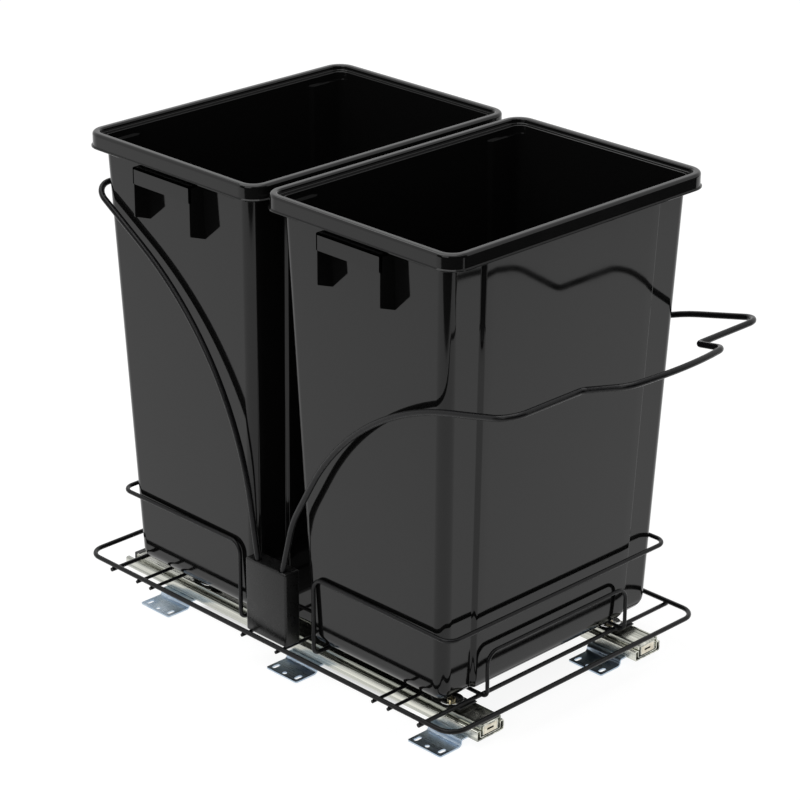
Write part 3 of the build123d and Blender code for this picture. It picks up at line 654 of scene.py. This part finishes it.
for side in ("left", "right"):
    half = slide_width / 2
    lip = half - lip_reach
    outer_points = [(-lip, slide_height), (-half, slide_height), (-half, 0)]
    outer_points += [(-x, z) for x, z in reversed(outer_points)]
    outer = slide_member(f"outer_member_{side}", outer_points, outer_sheet)
    give(outer, rolled_zinc, "rails", "slide_steel", f"outer_member_{side}")
    half = middle_width / 2
    middle_points = [(-half, middle_height), (-half, 0), (half, 0), (half, middle_height)]
    middle = slide_member(f"middle_member_{side}", middle_points, middle_sheet)
    give(middle, rolled_zinc, f"middle_{side}", "slide_steel", f"middle_member_{side}")
    half = inner_width / 2
    inner_points = [(half, 0), (half, inner_height), (-half, inner_height), (-half, 0)]
    inner = slide_member(f"inner_member_{side}", inner_points, inner_sheet)
    low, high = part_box(f"inner_member_{side}")
    tab_half = half - inner_sheet
    tab_low = inner_height - inner_sheet - tab_height
    tab_loop = block_section(tab_half, tab_low, tab_low + tab_height)
    tab_start = Vector(((low.x + high.x) / 2, low.y, low.z))
    face = [(0, 1, 2, 3)]
    tab = run_section(f"slide_tab_{side}", tab_loop, face, tab_start, along_y * inner_sheet)
    slot_middle = tab_low + tab_height / 2
    slot_rise = tab_slot[1] / 2
    slot_loop = block_section(tab_slot[0] / 2, slot_middle - slot_rise, slot_middle + slot_rise)
    slot_start = tab_start - along_y * inner_sheet
    slot = run_section("tab_slot", slot_loop, face, slot_start, along_y * 3 * inner_sheet)
    cut_out(tab, [slot])
    break_edges(tab, tab_edge)
    give(inner, rolled_zinc, "carriage", "slide_steel", f"inner_member_{side}")
    give(tab, tab_zinc, "carriage", "slide_steel")

# Balls and cages: polished bearing balls in two rows on each side of a pressed strip, and
# a moulded arch at the back of each slide that the inner member stops against.
cage_steel = new_finish("cage_steel", (0.6, 0.6, 0.58), 1.0, 0.35)
spread(cage_steel, grain(cage_steel, (500, 40, 500), 2.0), 0.28, 0.5)
ball_steel = new_finish("ball_steel", (0.78, 0.78, 0.78), 1.0, 0.08)
spread(ball_steel, grain(ball_steel, (900, 900, 900), 2.0), 0.05, 0.14)
bumper_black = new_finish("bumper_black", (0.02, 0.02, 0.02), 0.0, 0.5)
emboss(bumper_black, grain(bumper_black, (1500, 1500, 1500), 2.0), 0.03 * mm)
ball_pitch = 21.0 * mm
balls_a_side = 11
ball_radius = {"outer": 1.5 * mm, "inner": 1.25 * mm}


def coat_node(node, finish):
    """Put a finish on a CAD node that shows as it is."""
    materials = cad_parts[node].data.materials
    materials.clear()
    materials.append(finish)


for side in ("left", "right"):
    for row, radius in ball_radius.items():
        coat_node(f"{row}_cage_{side}", cage_steel)
        low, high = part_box(f"{row}_balls_{side}")
        ball_profile = [(0, radius)]
        for step in range(1, 10):
            angle = pi * step / 10
            ball_profile.append((radius * sin(angle), radius * cos(angle)))
        ball_profile.append((0, -radius))
        ball_places = []
        for ball_x in (low.x + radius, high.x - radius):
            for count in range(balls_a_side):
                ball_y = (low.y + high.y) / 2 + (count - (balls_a_side - 1) / 2) * ball_pitch
                ball_places.append((ball_x, ball_y, (low.z + high.z) / 2))
        ball = turned_piece("ball", ball_profile, 16)
        balls = copy_to(f"{row}_row_of_balls_{side}", ball, ball_places, ball_steel)
        give(balls, ball_steel, f"{row}_row_{side}", "ball_steel", f"{row}_balls_{side}")
    coat_node(f"rear_bumper_{side}", bumper_black)

# Carrier rails: bright strip rolled with a shallow recess along its top, which lie over the
# inner members and carry the wire base.
rail_width = 29.0 * mm
rail_sheet = 1.4 * mm
rail_ledge = 2.6 * mm
rail_recess = 1.1 * mm
rail_edge = 0.8 * mm
rail_fine_edge = 0.12 * mm
rail_zinc = new_finish("rail_zinc", (0.55, 0.55, 0.5), 1.0, 0.2)
rail_lines = grain(rail_zinc, (2200, 5, 2200), 3.0, 0.7)
rail_bands = grain(rail_zinc, (150, 1.5, 150), 2.0)
tint(rail_zinc, rail_bands, (0.22, 0.23, 0.20), (0.80, 0.80, 0.72))
spread(rail_zinc, rail_lines, 0.12, 0.28)
emboss(rail_zinc, rail_lines, 0.004 * mm, 0.5)
for side in ("left", "right"):
    node = f"carrier_rail_{side}"
    low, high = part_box(node)
    half = rail_width / 2
    height = high.z - low.z
    arc = []
    for out, down in quarter_turn(5):
        arc.append((half - rail_edge * (1 - out), height - rail_edge * (1 - down)))
    right = [
        (half - rail_ledge, height - rail_recess), (half - rail_ledge, height), *arc,
        (half, 0), (half - rail_sheet, 0), (half - rail_sheet, height - rail_recess - rail_sheet),
    ]
    loop = right + [(-x, z) for x, z in reversed(right)]
    start = Vector(((low.x + high.x) / 2, low.y, low.z))
    cap = tuple(range(len(loop)))
    rail = run_section(node + "_strip", loop, [cap], start, along_y * (high.y - low.y))
    break_edges(rail, rail_fine_edge)
    give(rail, rail_zinc, "carriage", "rail_steel", node)

# Frame straps: black-coated strips with a joggle at each wire, so that their flanges lie
# under the wires and their web lies in the rail's recess, where a screw holds it.
strap_width = 23.0 * mm
strap_sheet = 1.2 * mm
strap_bend = 2.0 * mm
strap_slope = 4.0 * mm
strap_foot = 3.5 * mm
strap_overlap = 3.0 * mm
strap_gap = 0.2 * mm
strap_edge = 0.15 * mm
strap_black = new_finish("strap_black", (0.018, 0.018, 0.018), 0.0, 0.35)
spread(strap_black, grain(strap_black, (300, 300, 300), 3.0), 0.28, 0.45)
emboss(strap_black, grain(strap_black, (1800, 1800, 1800), 2.0), 0.02 * mm)
for side in ("left", "right"):
    for end in ("front", "rear"):
        node = f"frame_strap_{side}_{end}"
        low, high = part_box(node)
        web = strap_sheet
        top = high.z - low.z
        length = high.y - low.y
        flange = strap_overlap + strap_foot
        if end == "front":
            end_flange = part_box("cross_wire_1")[0].z - strap_gap - low.z
            strap_points = [
                (length, top), (length - flange, top), (length - flange - strap_slope, web),
                (flange + strap_slope, web), (flange, end_flange), (0, end_flange),
            ]
        else:
            rest_low, rest_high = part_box("cross_wire_6")
            foot = (rest_low.y + rest_high.y) / 2 - strap_foot - low.y
            strap_points = [(length, top), (foot, top), (foot - strap_slope, web), (0, web)]
        section, caps = bent_strip(strap_points, strap_bend, strap_sheet)
        name = node + "_joggled"
        strap = run_section(name, section, caps, low, along_x * strap_width, along_y)
        break_edges(strap, strap_edge)
        give(strap, strap_black, "carriage", "strap_coat", node)

# Screw dishes and frame screws: a bright pressed washer with a flared rim on each strap,
# and a yellow zinc-plated pan-head screw through it into the rail.
dish_rim = 12.5 * mm
dish_base = 8.5 * mm
dish_hole = 2.6 * mm
dish_rise = 1.4 * mm
dish_sheet = 0.8 * mm
frame_screw_head = 4.5 * mm
frame_screw_head_height = 1.8 * mm
frame_screw_radius = 2.5 * mm
frame_screw_length = 8.0 * mm
dish_bright = new_finish("dish_bright", (0.82, 0.82, 0.8), 1.0, 0.12)
spread(dish_bright, grain(dish_bright, (700, 700, 700), 3.0), 0.08, 0.22)
screw_yellow = new_finish("screw_yellow", (0.75, 0.66, 0.4), 1.0, 0.25)
screw_cloud = grain(screw_yellow, (300, 300, 300), 3.0)
tint(screw_yellow, screw_cloud, (0.70, 0.58, 0.32), (0.80, 0.76, 0.58))
spread(screw_yellow, grain(screw_yellow, (900, 900, 900), 2.0), 0.18, 0.34)


def pan_head_screw(name, head, height, shank, length, drive=0.55):
    """A pan-head screw with a cross recess, its head on Z zero and its shank below."""
    round_edge = height * 0.55
    profile = [(0, height)]
    for out, down in quarter_turn(5):
        profile.append((head - round_edge * (1 - out), height - round_edge * (1 - down)))
    profile += [(head, 0), (shank, 0), (shank, -length + shank / 2)]
    profile += [(shank * 0.6, -length), (0, -length)]
    screw = turned_piece(name, profile)
    cutters = []
    for turn in (0, pi / 2):
        arm, half, depth = head * drive, head * 0.12, height * 0.7
        tip, over = height - depth, height * 1.3
        loop = [(-arm * 0.35, tip), (arm * 0.35, tip), (arm, over), (-arm, over)]
        across = Vector((cos(turn), sin(turn), 0))
        side_way = Vector((-sin(turn), cos(turn), 0))
        start = side_way * -half
        arm_cutter = run_section("drive", loop, [(0, 1, 2, 3)], start, side_way * 2 * half, across)
        cutters.append(arm_cutter)
    cut_out(screw, cutters)
    return screw


dish_low, dish_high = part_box("screw_dishes")
rim_top = dish_rise + dish_sheet
dish_edge = 0.2 * mm
dish_profile = [(dish_hole, 0), (dish_base - 0.6 * mm, 0), (dish_base, 0.1 * mm)]
dish_profile += [(dish_rim - dish_edge, dish_rise - 0.05 * mm), (dish_rim, dish_rise + 0.1 * mm)]
dish_profile += [(dish_rim, rim_top - dish_edge), (dish_rim - dish_edge, rim_top)]
dish_profile += [(dish_base - 0.3 * mm, dish_sheet + 0.1 * mm), (dish_base - 0.9 * mm, dish_sheet)]
dish_profile.append((dish_hole, dish_sheet))
dish_places = []
for dish_x in (dish_low.x + dish_rim, dish_high.x - dish_rim):
    for dish_y in (dish_low.y + dish_rim, dish_high.y - dish_rim):
        dish_places.append(Vector((dish_x, dish_y, dish_low.z)))
dish = turned_piece("dish", dish_profile, 48)
dishes = copy_to("flared_dishes", dish, dish_places, dish_bright)
give(dishes, dish_bright, "carriage", "dish_steel", "screw_dishes")
screw_places = [place + Vector((0, 0, dish_sheet)) for place in dish_places]
frame_screw = pan_head_screw(
    "frame_screw", frame_screw_head, frame_screw_head_height, frame_screw_radius, frame_screw_length
)
turns = (0, 0, 1.5)
frame_screws = copy_to("pan_head_screws", frame_screw, screw_places, screw_yellow, turns, 1.0, 4)
give(frame_screws, screw_yellow, "carriage", "screw_steel", "frame_screws")

# Wire base: a round steel ring with eight straight wires welded under it, all coated in
# satin black powder. Two of the wires, at the ends, are thicker than the rest.
ring_wire = 5.0 * mm
ring_corner = 18.0 * mm
wire_black = new_finish("wire_black", (0.004, 0.004, 0.0045), 0.0, 0.3, IOR=1.3)
spread(wire_black, grain(wire_black, (250, 250, 250), 3.0), 0.24, 0.38)
emboss(wire_black, grain(wire_black, (1400, 1400, 1400), 2.0), 0.02 * mm)


def wire_nodes():
    """A tree that rounds a path's corners by their own bends and runs a round wire along it."""
    tree = bpy.data.node_groups.new("bent_wire", "GeometryNodeTree")
    add_input(tree, "Geometry", "NodeSocketGeometry")
    add_input(tree, "radius", "NodeSocketFloat", 2.5 * mm)
    add_input(tree, "sides", "NodeSocketInt", 20)
    add_input(tree, "bend_steps", "NodeSocketInt", 12)
    add_input(tree, "finish", "NodeSocketMaterial")
    given = add_node(tree, "NodeGroupInput").outputs
    path = add_node(tree, "GeometryNodeMeshToCurve")
    bends = add_node(tree, "GeometryNodeInputNamedAttribute", {"Name": "bend"}, data_type="FLOAT")
    fillet = add_node(tree, "GeometryNodeFilletCurve", mode="POLY")
    section = add_node(tree, "GeometryNodeCurvePrimitiveCircle")
    wire = add_node(tree, "GeometryNodeCurveToMesh", {"Fill Caps": True})
    links = tree.links
    links.new(given["Geometry"], path.inputs["Mesh"])
    links.new(path.outputs["Curve"], fillet.inputs["Curve"])
    links.new(bends.outputs["Attribute"], fillet.inputs["Radius"])
    links.new(given["bend_steps"], fillet.inputs["Count"])
    links.new(given["sides"], section.inputs["Resolution"])
    links.new(given["radius"], section.inputs["Radius"])
    links.new(fillet.outputs["Curve"], wire.inputs["Curve"])
    links.new(section.outputs["Curve"], wire.inputs["Profile Curve"])
    finish_tree(tree, given, wire.outputs["Mesh"])
    return tree


bent_wire_nodes = wire_nodes()


def bent_wire(node, points, bends, diameter, steps=12, closed=False):
    """One wire along its corner points, with a bend at each, that stands for its node."""
    mesh = bpy.data.meshes.new(node)
    last = len(points) - 1
    edges = [(i, i + 1) for i in range(last)]
    if closed:
        edges.append((last, 0))
    mesh.from_pydata([tuple(point) for point in points], edges, [])
    mesh.attributes.new("bend", "FLOAT", "POINT").data.foreach_set("value", bends)
    piece = bpy.data.objects.new(node + "_wire", mesh)
    bpy.context.collection.objects.link(piece)
    modifier = piece.modifiers.new("wire", "NODES")
    modifier.node_group = bent_wire_nodes
    set_inputs(modifier, radius=diameter / 2, bend_steps=steps, finish=wire_black)
    make_plain(piece)
    shade_bends(piece, 40)
    give(piece, wire_black, "carriage", "wire_coat", node)


def mirrored(half):
    """A path's left half and its mirror image on the right."""
    return half + [(-x, y, z) for x, y, z in reversed(half)]


ring_level = (ring_low.z + ring_high.z) / 2
ring_x = ring_high.x - ring_wire / 2
ring_front = ring_low.y + ring_wire / 2
ring_back = ring_high.y - ring_wire / 2
ring_xs = (-ring_x, ring_x, ring_x, -ring_x)
ring_ys = (ring_front, ring_front, ring_back, ring_back)
ring_path = [(x, y, ring_level) for x, y in zip(ring_xs, ring_ys)]
bent_wire("base_ring", ring_path, [ring_corner] * 4, ring_wire, closed=True)
cross_lines = []
for count in range(1, 9):
    node = f"cross_wire_{count}"
    low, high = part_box(node)
    center = (low + high) / 2
    ends = [(low.x, center.y, center.z), (high.x, center.y, center.z)]
    bent_wire(node, ends, [0, 0], high.z - low.z)
    cross_lines.append((center.y, high.z))

# Lower hoops: wire bent into an open box round the foot of each bin. The bottom run lies
# level with the cross wires, and the far end spreads a little.
hoop_wire = 4.5 * mm
hoop_foot_bend = 7.0 * mm
hoop_bend = 13.0 * mm
hoop_side = 156.5 * mm
for end, way in {"front": -1, "rear": 1}.items():
    low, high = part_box(f"lower_hoop_{end}")
    half_wire = hoop_wire / 2
    leg_y, far_y = high.y - half_wire, low.y + half_wire
    if way > 0:
        leg_y, far_y = far_y, leg_y
    top_z = high.z - half_wire
    left = [(-hoop_side, leg_y, low.z + half_wire), (-hoop_side, leg_y, top_z)]
    left.append((half_wire - high.x, far_y, top_z))
    bends = [hoop_foot_bend, hoop_bend, hoop_bend]
    bent_wire(f"lower_hoop_{end}", mirrored(left), bends + bends[::-1], hoop_wire, closed=True)

# Front guard: a low arch of thinner wire in front of the front bin. Its two feet run back
# over the cross wires, are welded to them and carry both bins.
guard_wire = 4.0 * mm
guard_bend = 13.0 * mm
guard_foot_bend = 6.0 * mm
low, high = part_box("front_guard")
guard_x = high.x - guard_wire / 2
guard_low = low.z + guard_wire / 2
guard_top = high.z - guard_wire / 2
guard_front = low.y + guard_wire / 2
guard_left = [(-guard_x, high.y, guard_low), (-guard_x, guard_front, guard_low)]
guard_left.append((-guard_x, guard_front, guard_top))
guard_bends = [0, guard_foot_bend, guard_bend, guard_bend, guard_foot_bend, 0]
bent_wire("front_guard", mirrored(guard_left), guard_bends, guard_wire)

# Weld beads: a small nugget of metal at every crossing of the wires, under the coat.
bead_radius = 2.1 * mm
bead_places = []
for line_y, line_top in cross_lines:
    for ring_way in (-1, 1):
        bead_places.append((ring_way * ring_x, line_y, line_top))
    if line_y < high.y:
        for guard_way in (-1, 1):
            bead_places.append((guard_way * guard_x, line_y, line_top))
bead_shape = bmesh.new()
bmesh.ops.create_icosphere(bead_shape, subdivisions=2, radius=bead_radius)
for vertex in bead_shape.verts:
    vertex.co.z *= 0.7
    vertex.co.x *= 1.25
bead = piece_from("bead", bead_shape)
beads = copy_to("weld_beads", bead, bead_places, wire_black, (0.5, 0.5, 3.0), 0.75, 7)
give(beads, wire_black, "carriage", "wire_coat")

# Hoop posts and side covers: bent black steel plates stand on the two middle cross wires,
# under moulded boxes, open below, that the thick wires come out of through two holes.
cover_wall = 1.5 * mm
cover_corner = 2.5 * mm
cover_hole = 8.6 * mm
cover_edge = 0.25 * mm
handle_wire = 6.35 * mm
post_black = new_finish("post_black", (0.02, 0.02, 0.02), 0.0, 0.4)
emboss(post_black, grain(post_black, (1400, 1400, 1400), 2.0), 0.02 * mm)
cover_black = new_finish("cover_black", (0.008, 0.008, 0.008), 0.0, 0.3, IOR=1.36)
spread(cover_black, grain(cover_black, (120, 120, 120), 3.0), 0.22, 0.36)
emboss(cover_black, grain(cover_black, (1600, 1600, 1600), 3.0), 0.03 * mm)


def block_piece(name, low, high):
    """A plain block between two corners."""
    shape = bmesh.new()
    matrix = Matrix.Translation((low + high) / 2) @ Matrix.Diagonal((*(high - low), 1))
    bmesh.ops.create_cube(shape, size=1.0, matrix=matrix)
    return piece_from(name, shape)


handle_low, handle_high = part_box("pull_handle")
hoop_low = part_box("rear_hoop")[0]
handle_foot_y = handle_high.y - handle_wire / 2
hoop_foot_y = hoop_low.y + handle_wire / 2
handle_side = 167.3 * mm
for side, way in {"left": -1, "right": 1}.items():
    coat_node(f"hoop_post_{side}", post_black)
    low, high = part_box(f"side_cover_{side}")
    cover = block_piece(f"side_cover_{side}_moulding", low, high)
    rounding = cover.modifiers.new("rounded corners", "BEVEL")
    rounding.width = cover_corner
    rounding.segments = 4
    make_plain(cover)
    wall = Vector((cover_wall, cover_wall, 0))
    drop = along_z * cover_wall
    cutters = [block_piece("inner", low + wall - drop, high - wall - drop)]
    for foot_y in (handle_foot_y, hoop_foot_y):
        place = (way * handle_side, foot_y, high.z)
        hole = (cover_hole, cover_hole * nearly_round, 6 * cover_wall)
        cutters.append(punch("cover_hole", place, *hole))
    cut_out(cover, cutters)
    break_edges(cover, cover_edge, 2, 60)
    give(cover, cover_black, "carriage", "cover_plastic", f"side_cover_{side}")

# Post screws: four pan heads inside each post, with their shanks through the plate into
# the ends of the handle and of the rear hoop.
post_screw_head = 3.75 * mm
post_screw_head_height = 2.6 * mm
post_screw_radius = 2.0 * mm
post_screw_low = 60.0 * mm
post_screw_high = 96.0 * mm
for side, way in {"left": -1, "right": 1}.items():
    low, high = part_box(f"post_screws_{side}")
    length = high.x - low.x - post_screw_head_height
    head_x = high.x - post_screw_head_height if way < 0 else low.x + post_screw_head_height
    head = (post_screw_head, post_screw_head_height)
    post_screw = pan_head_screw("post_screw", *head, post_screw_radius, length)
    post_screw.data.transform(Matrix.Rotation(-way * pi / 2, 4, "Y"))
    post_screw_places = []
    for foot_y in (handle_foot_y, hoop_foot_y):
        for level in (post_screw_low, post_screw_high):
            post_screw_places.append((head_x, foot_y, level))
    screws = copy_to(f"post_pan_heads_{side}", post_screw, post_screw_places, screw_yellow)
    give(screws, screw_yellow, "carriage", "screw_steel", f"post_screws_{side}")

# Pull handle: thick black wire from post to post, up both sides and forwards, with a
# notch and a rounded bow in the middle of its front that a hand takes hold of.
foot_level = handle_low.z
cover_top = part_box("side_cover_left")[1].z
handle_corner_place = 337.7 * mm
handle_corner_level = 384.4 * mm
handle_slope = 0.29
bow_side_place = 380.0 * mm
bow_point_place = 393.6 * mm


def handle_level(place):
    """Height of the handle's sloping front at a distance in front of the ring's middle."""
    return handle_corner_level + handle_slope * (place - handle_corner_place)


handle_left = [
    (-handle_side, handle_foot_y, foot_level),
    (-handle_side, handle_foot_y, cover_top),
    (-168.55 * mm, middle_y - 40.5 * mm, 178.6 * mm),
    (-175.45 * mm, middle_y - 135.8 * mm, 337.8 * mm),
    (-177.9 * mm, middle_y - handle_corner_place, handle_corner_level),
    (-81.5 * mm, middle_y - handle_corner_place, handle_corner_level),
    (-66.0 * mm, middle_y - bow_side_place, handle_level(bow_side_place)),
]
handle_bends = [0, 60 * mm, 121 * mm, 301 * mm, 21 * mm, 8 * mm, 18 * mm]
handle_bow = [(0, middle_y - bow_point_place, handle_level(bow_point_place))]
handle_points = handle_left + handle_bow + mirrored(handle_left)[len(handle_left):]
all_bends = handle_bends + [240 * mm] + handle_bends[::-1]
bent_wire("pull_handle", handle_points, all_bends, handle_wire, 20)

# Rear hoop: the same thick wire from post to post, up both sides and back behind the rear
# bin, which it keeps from tipping.
hoop_left = [
    (-handle_side, hoop_foot_y, foot_level),
    (-handle_side, hoop_foot_y, cover_top),
    (-169.65 * mm, middle_y + 46.2 * mm, 330.2 * mm),
    (-172.6 * mm, middle_y + 248.3 * mm, 458.3 * mm),
]
hoop_bends = [0, 60 * mm, 342 * mm, 20 * mm]
bent_wire("rear_hoop", mirrored(hoop_left), hoop_bends + hoop_bends[::-1], handle_wire, 20)

# Bins: deep containers moulded in glossy black plastic. Their walls lean out to a shelf and
# a hollow bead round it, each long wall has a raised panel, and each end has a hollow grip.
bin_width = 356.0 * mm
bin_depth = 254.0 * mm
bin_sheet = 2.4 * mm
rim_height = 16.0 * mm
rim_sheet = 2.5 * mm
rim_bead = 8.0 * mm
rim_corner = 21.0 * mm
rim_round = 3.0 * mm
rim_lip = 1.5 * mm
rim_lip_height = 1.6 * mm
mouth_depth = 5.2 * mm
mouth_round = 2.0 * mm
wall_inset_x = 10.0 * mm
wall_inset_y = 15.3 * mm
wall_draft_x = 17.0 * mm
wall_draft_y = 18.1 * mm
wall_corner = 12.5 * mm
floor_round = 15.0 * mm
floor_corner_share = 0.4
panel_rise = 4.0 * mm
panel_slope = 5.0 * mm
shoulder_depth = 13.5 * mm
panel_half_top = 120.0 * mm
panel_half_floor = 108.0 * mm
grip_width = 86.0 * mm
grip_reach = 17.0 * mm
grip_plate_height = 17.5 * mm
grip_fin_height = 58.5 * mm
grip_fin_edge = 51.5 * mm
grip_sheet = 2.5 * mm
grip_top_gap = 1.5 * mm
grip_edge = 0.5 * mm
bin_edge = 0.4 * mm
merge_distance = 0.005 * mm

bin_black = new_finish("bin_black", (0.004, 0.004, 0.004), 0.0, 0.08, IOR=1.38)
spread(bin_black, grain(bin_black, (14, 14, 14), 3.0), 0.05, 0.1)
emboss(bin_black, grain(bin_black, (30, 30, 12), 2.0), 0.12 * mm, 0.35)


def quarter_outline(half_x, half_y, corner, panel, rise):
    """A quarter of a bin's outline, from the middle of a long wall to the middle of an end."""
    points = [(panel * share, half_y + rise) for share in (0.0, 0.5, 0.9)]
    for step in range(6):
        share = step / 5
        fall = (1 - cos(pi * share)) / 2
        points.append((panel + panel_slope * share, half_y + rise * (1 - fall)))
    for back, out in reversed(quarter_turn(10)):
        points.append((half_x - corner * (1 - out), half_y - corner * (1 - back)))
    points += [(half_x, (half_y - corner) * share) for share in (0.6, 0.3, 0.0)]
    return points


def full_outline(center_y, level, half_x, half_y, corner, panel, rise):
    """A whole outline, anticlockwise, from its quarter."""
    quarter = quarter_outline(half_x, half_y, corner, panel, rise)
    upper = quarter[::-1] + [(-x, y) for x, y in quarter[1:]]
    lower = [(-x, -y) for x, y in upper[1:-1]]
    return [(x, center_y + y, level) for x, y in upper + lower]


def wall_level(center_y, level, base, top, skin, inset, above_shoulder=False):
    """The wall's outline at a level, moved in by a skin and by the floor's rounding."""
    share = (level - base) / (top - base)
    half_x = bin_width / 2 - wall_inset_x - wall_draft_x * (1 - share) - skin - inset
    half_y = bin_depth / 2 - wall_inset_y - wall_draft_y * (1 - share) - skin - inset
    panel = panel_half_floor + (panel_half_top - panel_half_floor) * share - skin - inset
    corner = wall_corner - skin - floor_corner_share * inset
    if above_shoulder:
        return full_outline(center_y, level, half_x, half_y + panel_rise, corner, panel, 0)
    return full_outline(center_y, level, half_x, half_y, corner, panel, panel_rise)


def rim_level(center_y, level, inset):
    """The rim's outline at a level."""
    half_x, half_y = bin_width / 2 - inset, bin_depth / 2 - inset
    return full_outline(center_y, level, half_x, half_y, rim_corner - inset, panel_half_top, 0)


def bin_loops(center_y, base, top):
    """All outlines of a bin, from under its floor, up the outside, over the rim and down inside."""
    soft = bin_edge
    shelf = top - mouth_depth
    under = shelf - rim_sheet
    shoulder = top - shoulder_depth
    outer_shoulder = shoulder - bin_sheet
    channel = rim_bead - rim_sheet
    channel_top = top - rim_sheet
    skirt = top - rim_height
    lip_top = skirt + rim_lip_height
    loops = []

    def wall(level, skin=0, inset=0, above=False):
        """Add the wall's outline at a level."""
        loops.append(wall_level(center_y, level, base, top, skin, inset, above))

    def rim(*levels):
        """Add the rim's outlines, each from a level and an inset."""
        for level, inset in levels:
            loops.append(rim_level(center_y, level, inset))

    for out, down in quarter_turn(7):
        wall(base + floor_round * (1 - down), 0, floor_round * (1 - out))
    for share in (0.02, 0.2, 0.4, 0.6, 0.8, 1.0):
        wall(base + floor_round + (outer_shoulder - base - floor_round) * share)
    wall(outer_shoulder, above=True)
    wall(under - soft, above=True)
    wall(under, 0, -soft, True)
    rim((under, channel + soft), (under + soft, channel), (channel_top - soft, channel))
    rim((channel_top, channel - soft), (channel_top, rim_sheet + soft))
    rim((channel_top - soft, rim_sheet), (skirt + soft, rim_sheet))
    rim((skirt, rim_sheet - soft), (skirt, soft - rim_lip), (skirt + soft, -rim_lip))
    rim((lip_top - soft, -rim_lip), (lip_top, soft - rim_lip))
    rim((lip_top, -soft), (lip_top + soft, 0), (top - rim_round - soft, 0))
    for up, out in quarter_turn(6):
        rim((top - rim_round * (1 - up), rim_round * (1 - out)))
    for out, up in quarter_turn(5):
        rim((top - mouth_round * (1 - up), rim_bead - mouth_round * (1 - out)))
    rim((shelf + soft, rim_bead), (shelf, rim_bead + soft))
    wall(shelf, bin_sheet, -soft, True)
    wall(shelf - soft, bin_sheet, 0, True)
    wall(shoulder, bin_sheet, 0, True)
    wall(shoulder, bin_sheet)
    for share in (0.97, 0.8, 0.6, 0.4, 0.2, 0.02):
        wall(base + floor_round + (shoulder - base - floor_round) * share, bin_sheet)
    inner_floor = floor_round - bin_sheet
    for out, down in reversed(quarter_turn(7)):
        wall(base + bin_sheet + inner_floor * (1 - down), bin_sheet, inner_floor * (1 - out))
    return loops


def shell_from(loops):
    """Skin a closed shell over outlines that have as many points each."""
    count = len(loops[0])
    shape = bmesh.new()
    rows = [[shape.verts.new(point) for point in loop] for loop in loops]
    for first, second in zip(rows, rows[1:]):
        for i in range(count):
            shape.faces.new((first[i], first[(i + 1) % count], second[(i + 1) % count], second[i]))
    shape.faces.new(rows[0][::-1])
    shape.faces.new(rows[-1])
    bmesh.ops.remove_doubles(shape, verts=list(shape.verts), dist=merge_distance)
    return shape


def add_plate(shape, low, high, outer_way=0, outer_lift=0.0):
    """Add one closed plate of a grip to a shape, its outer lower edge lifted where it slopes."""
    middle = (Vector(low) + Vector(high)) / 2
    size = Vector(high) - Vector(low)
    matrix = Matrix.Translation(middle) @ Matrix.Diagonal((*size, 1))
    made = bmesh.ops.create_cube(shape, size=1.0, matrix=matrix)
    for vertex in made["verts"]:
        if (vertex.co.x - middle.x) * outer_way > 0 and vertex.co.z < middle.z:
            vertex.co.z += outer_lift
    edges = list({edge for vertex in made["verts"] for edge in vertex.link_edges})
    bmesh.ops.bevel(shape, geom=edges, offset=grip_edge, segments=2, affect="EDGES")


for end in ("front", "rear"):
    low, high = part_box(f"bin_{end}")
    center_y = (low.y + high.y) / 2
    shape = shell_from(bin_loops(center_y, low.z, high.z))
    grip_top = high.z - rim_height - grip_top_gap
    wall_x = bin_width / 2 - wall_inset_x
    root = wall_x - 1.2 * bin_sheet
    face = wall_x + grip_reach
    for way in (-1, 1):
        near, far = sorted((way * root, way * face))
        plate_low, plate_high = sorted((way * (face - grip_sheet), way * face))
        half = grip_width / 2
        front_y, back_y = center_y - half, center_y + half
        lip_low, plate_bottom = grip_top - grip_sheet, grip_top - grip_plate_height
        add_plate(shape, (near, front_y, lip_low), (far, back_y, grip_top))
        add_plate(shape, (plate_low, front_y, plate_bottom), (plate_high, back_y, grip_top))
        for fin_y in (front_y, back_y - grip_sheet):
            fin_low = (near, fin_y, grip_top - grip_fin_height)
            fin_high = (far, fin_y + grip_sheet, grip_top)
            add_plate(shape, fin_low, fin_high, way, grip_fin_height - grip_fin_edge)
    storage_bin = piece_from(f"bin_{end}_moulding", shape)
    shade_bends(storage_bin, 40)
    even = storage_bin.modifiers.new("even shading", "WEIGHTED_NORMAL")
    even.keep_sharp = True
    make_plain(storage_bin)
    give(storage_bin, bin_black, f"bin_{end}", "bin_plastic", f"bin_{end}")
    # The painted shade in the paper's glow follows this bin.
    painted_shade_places[end].object = storage_bin
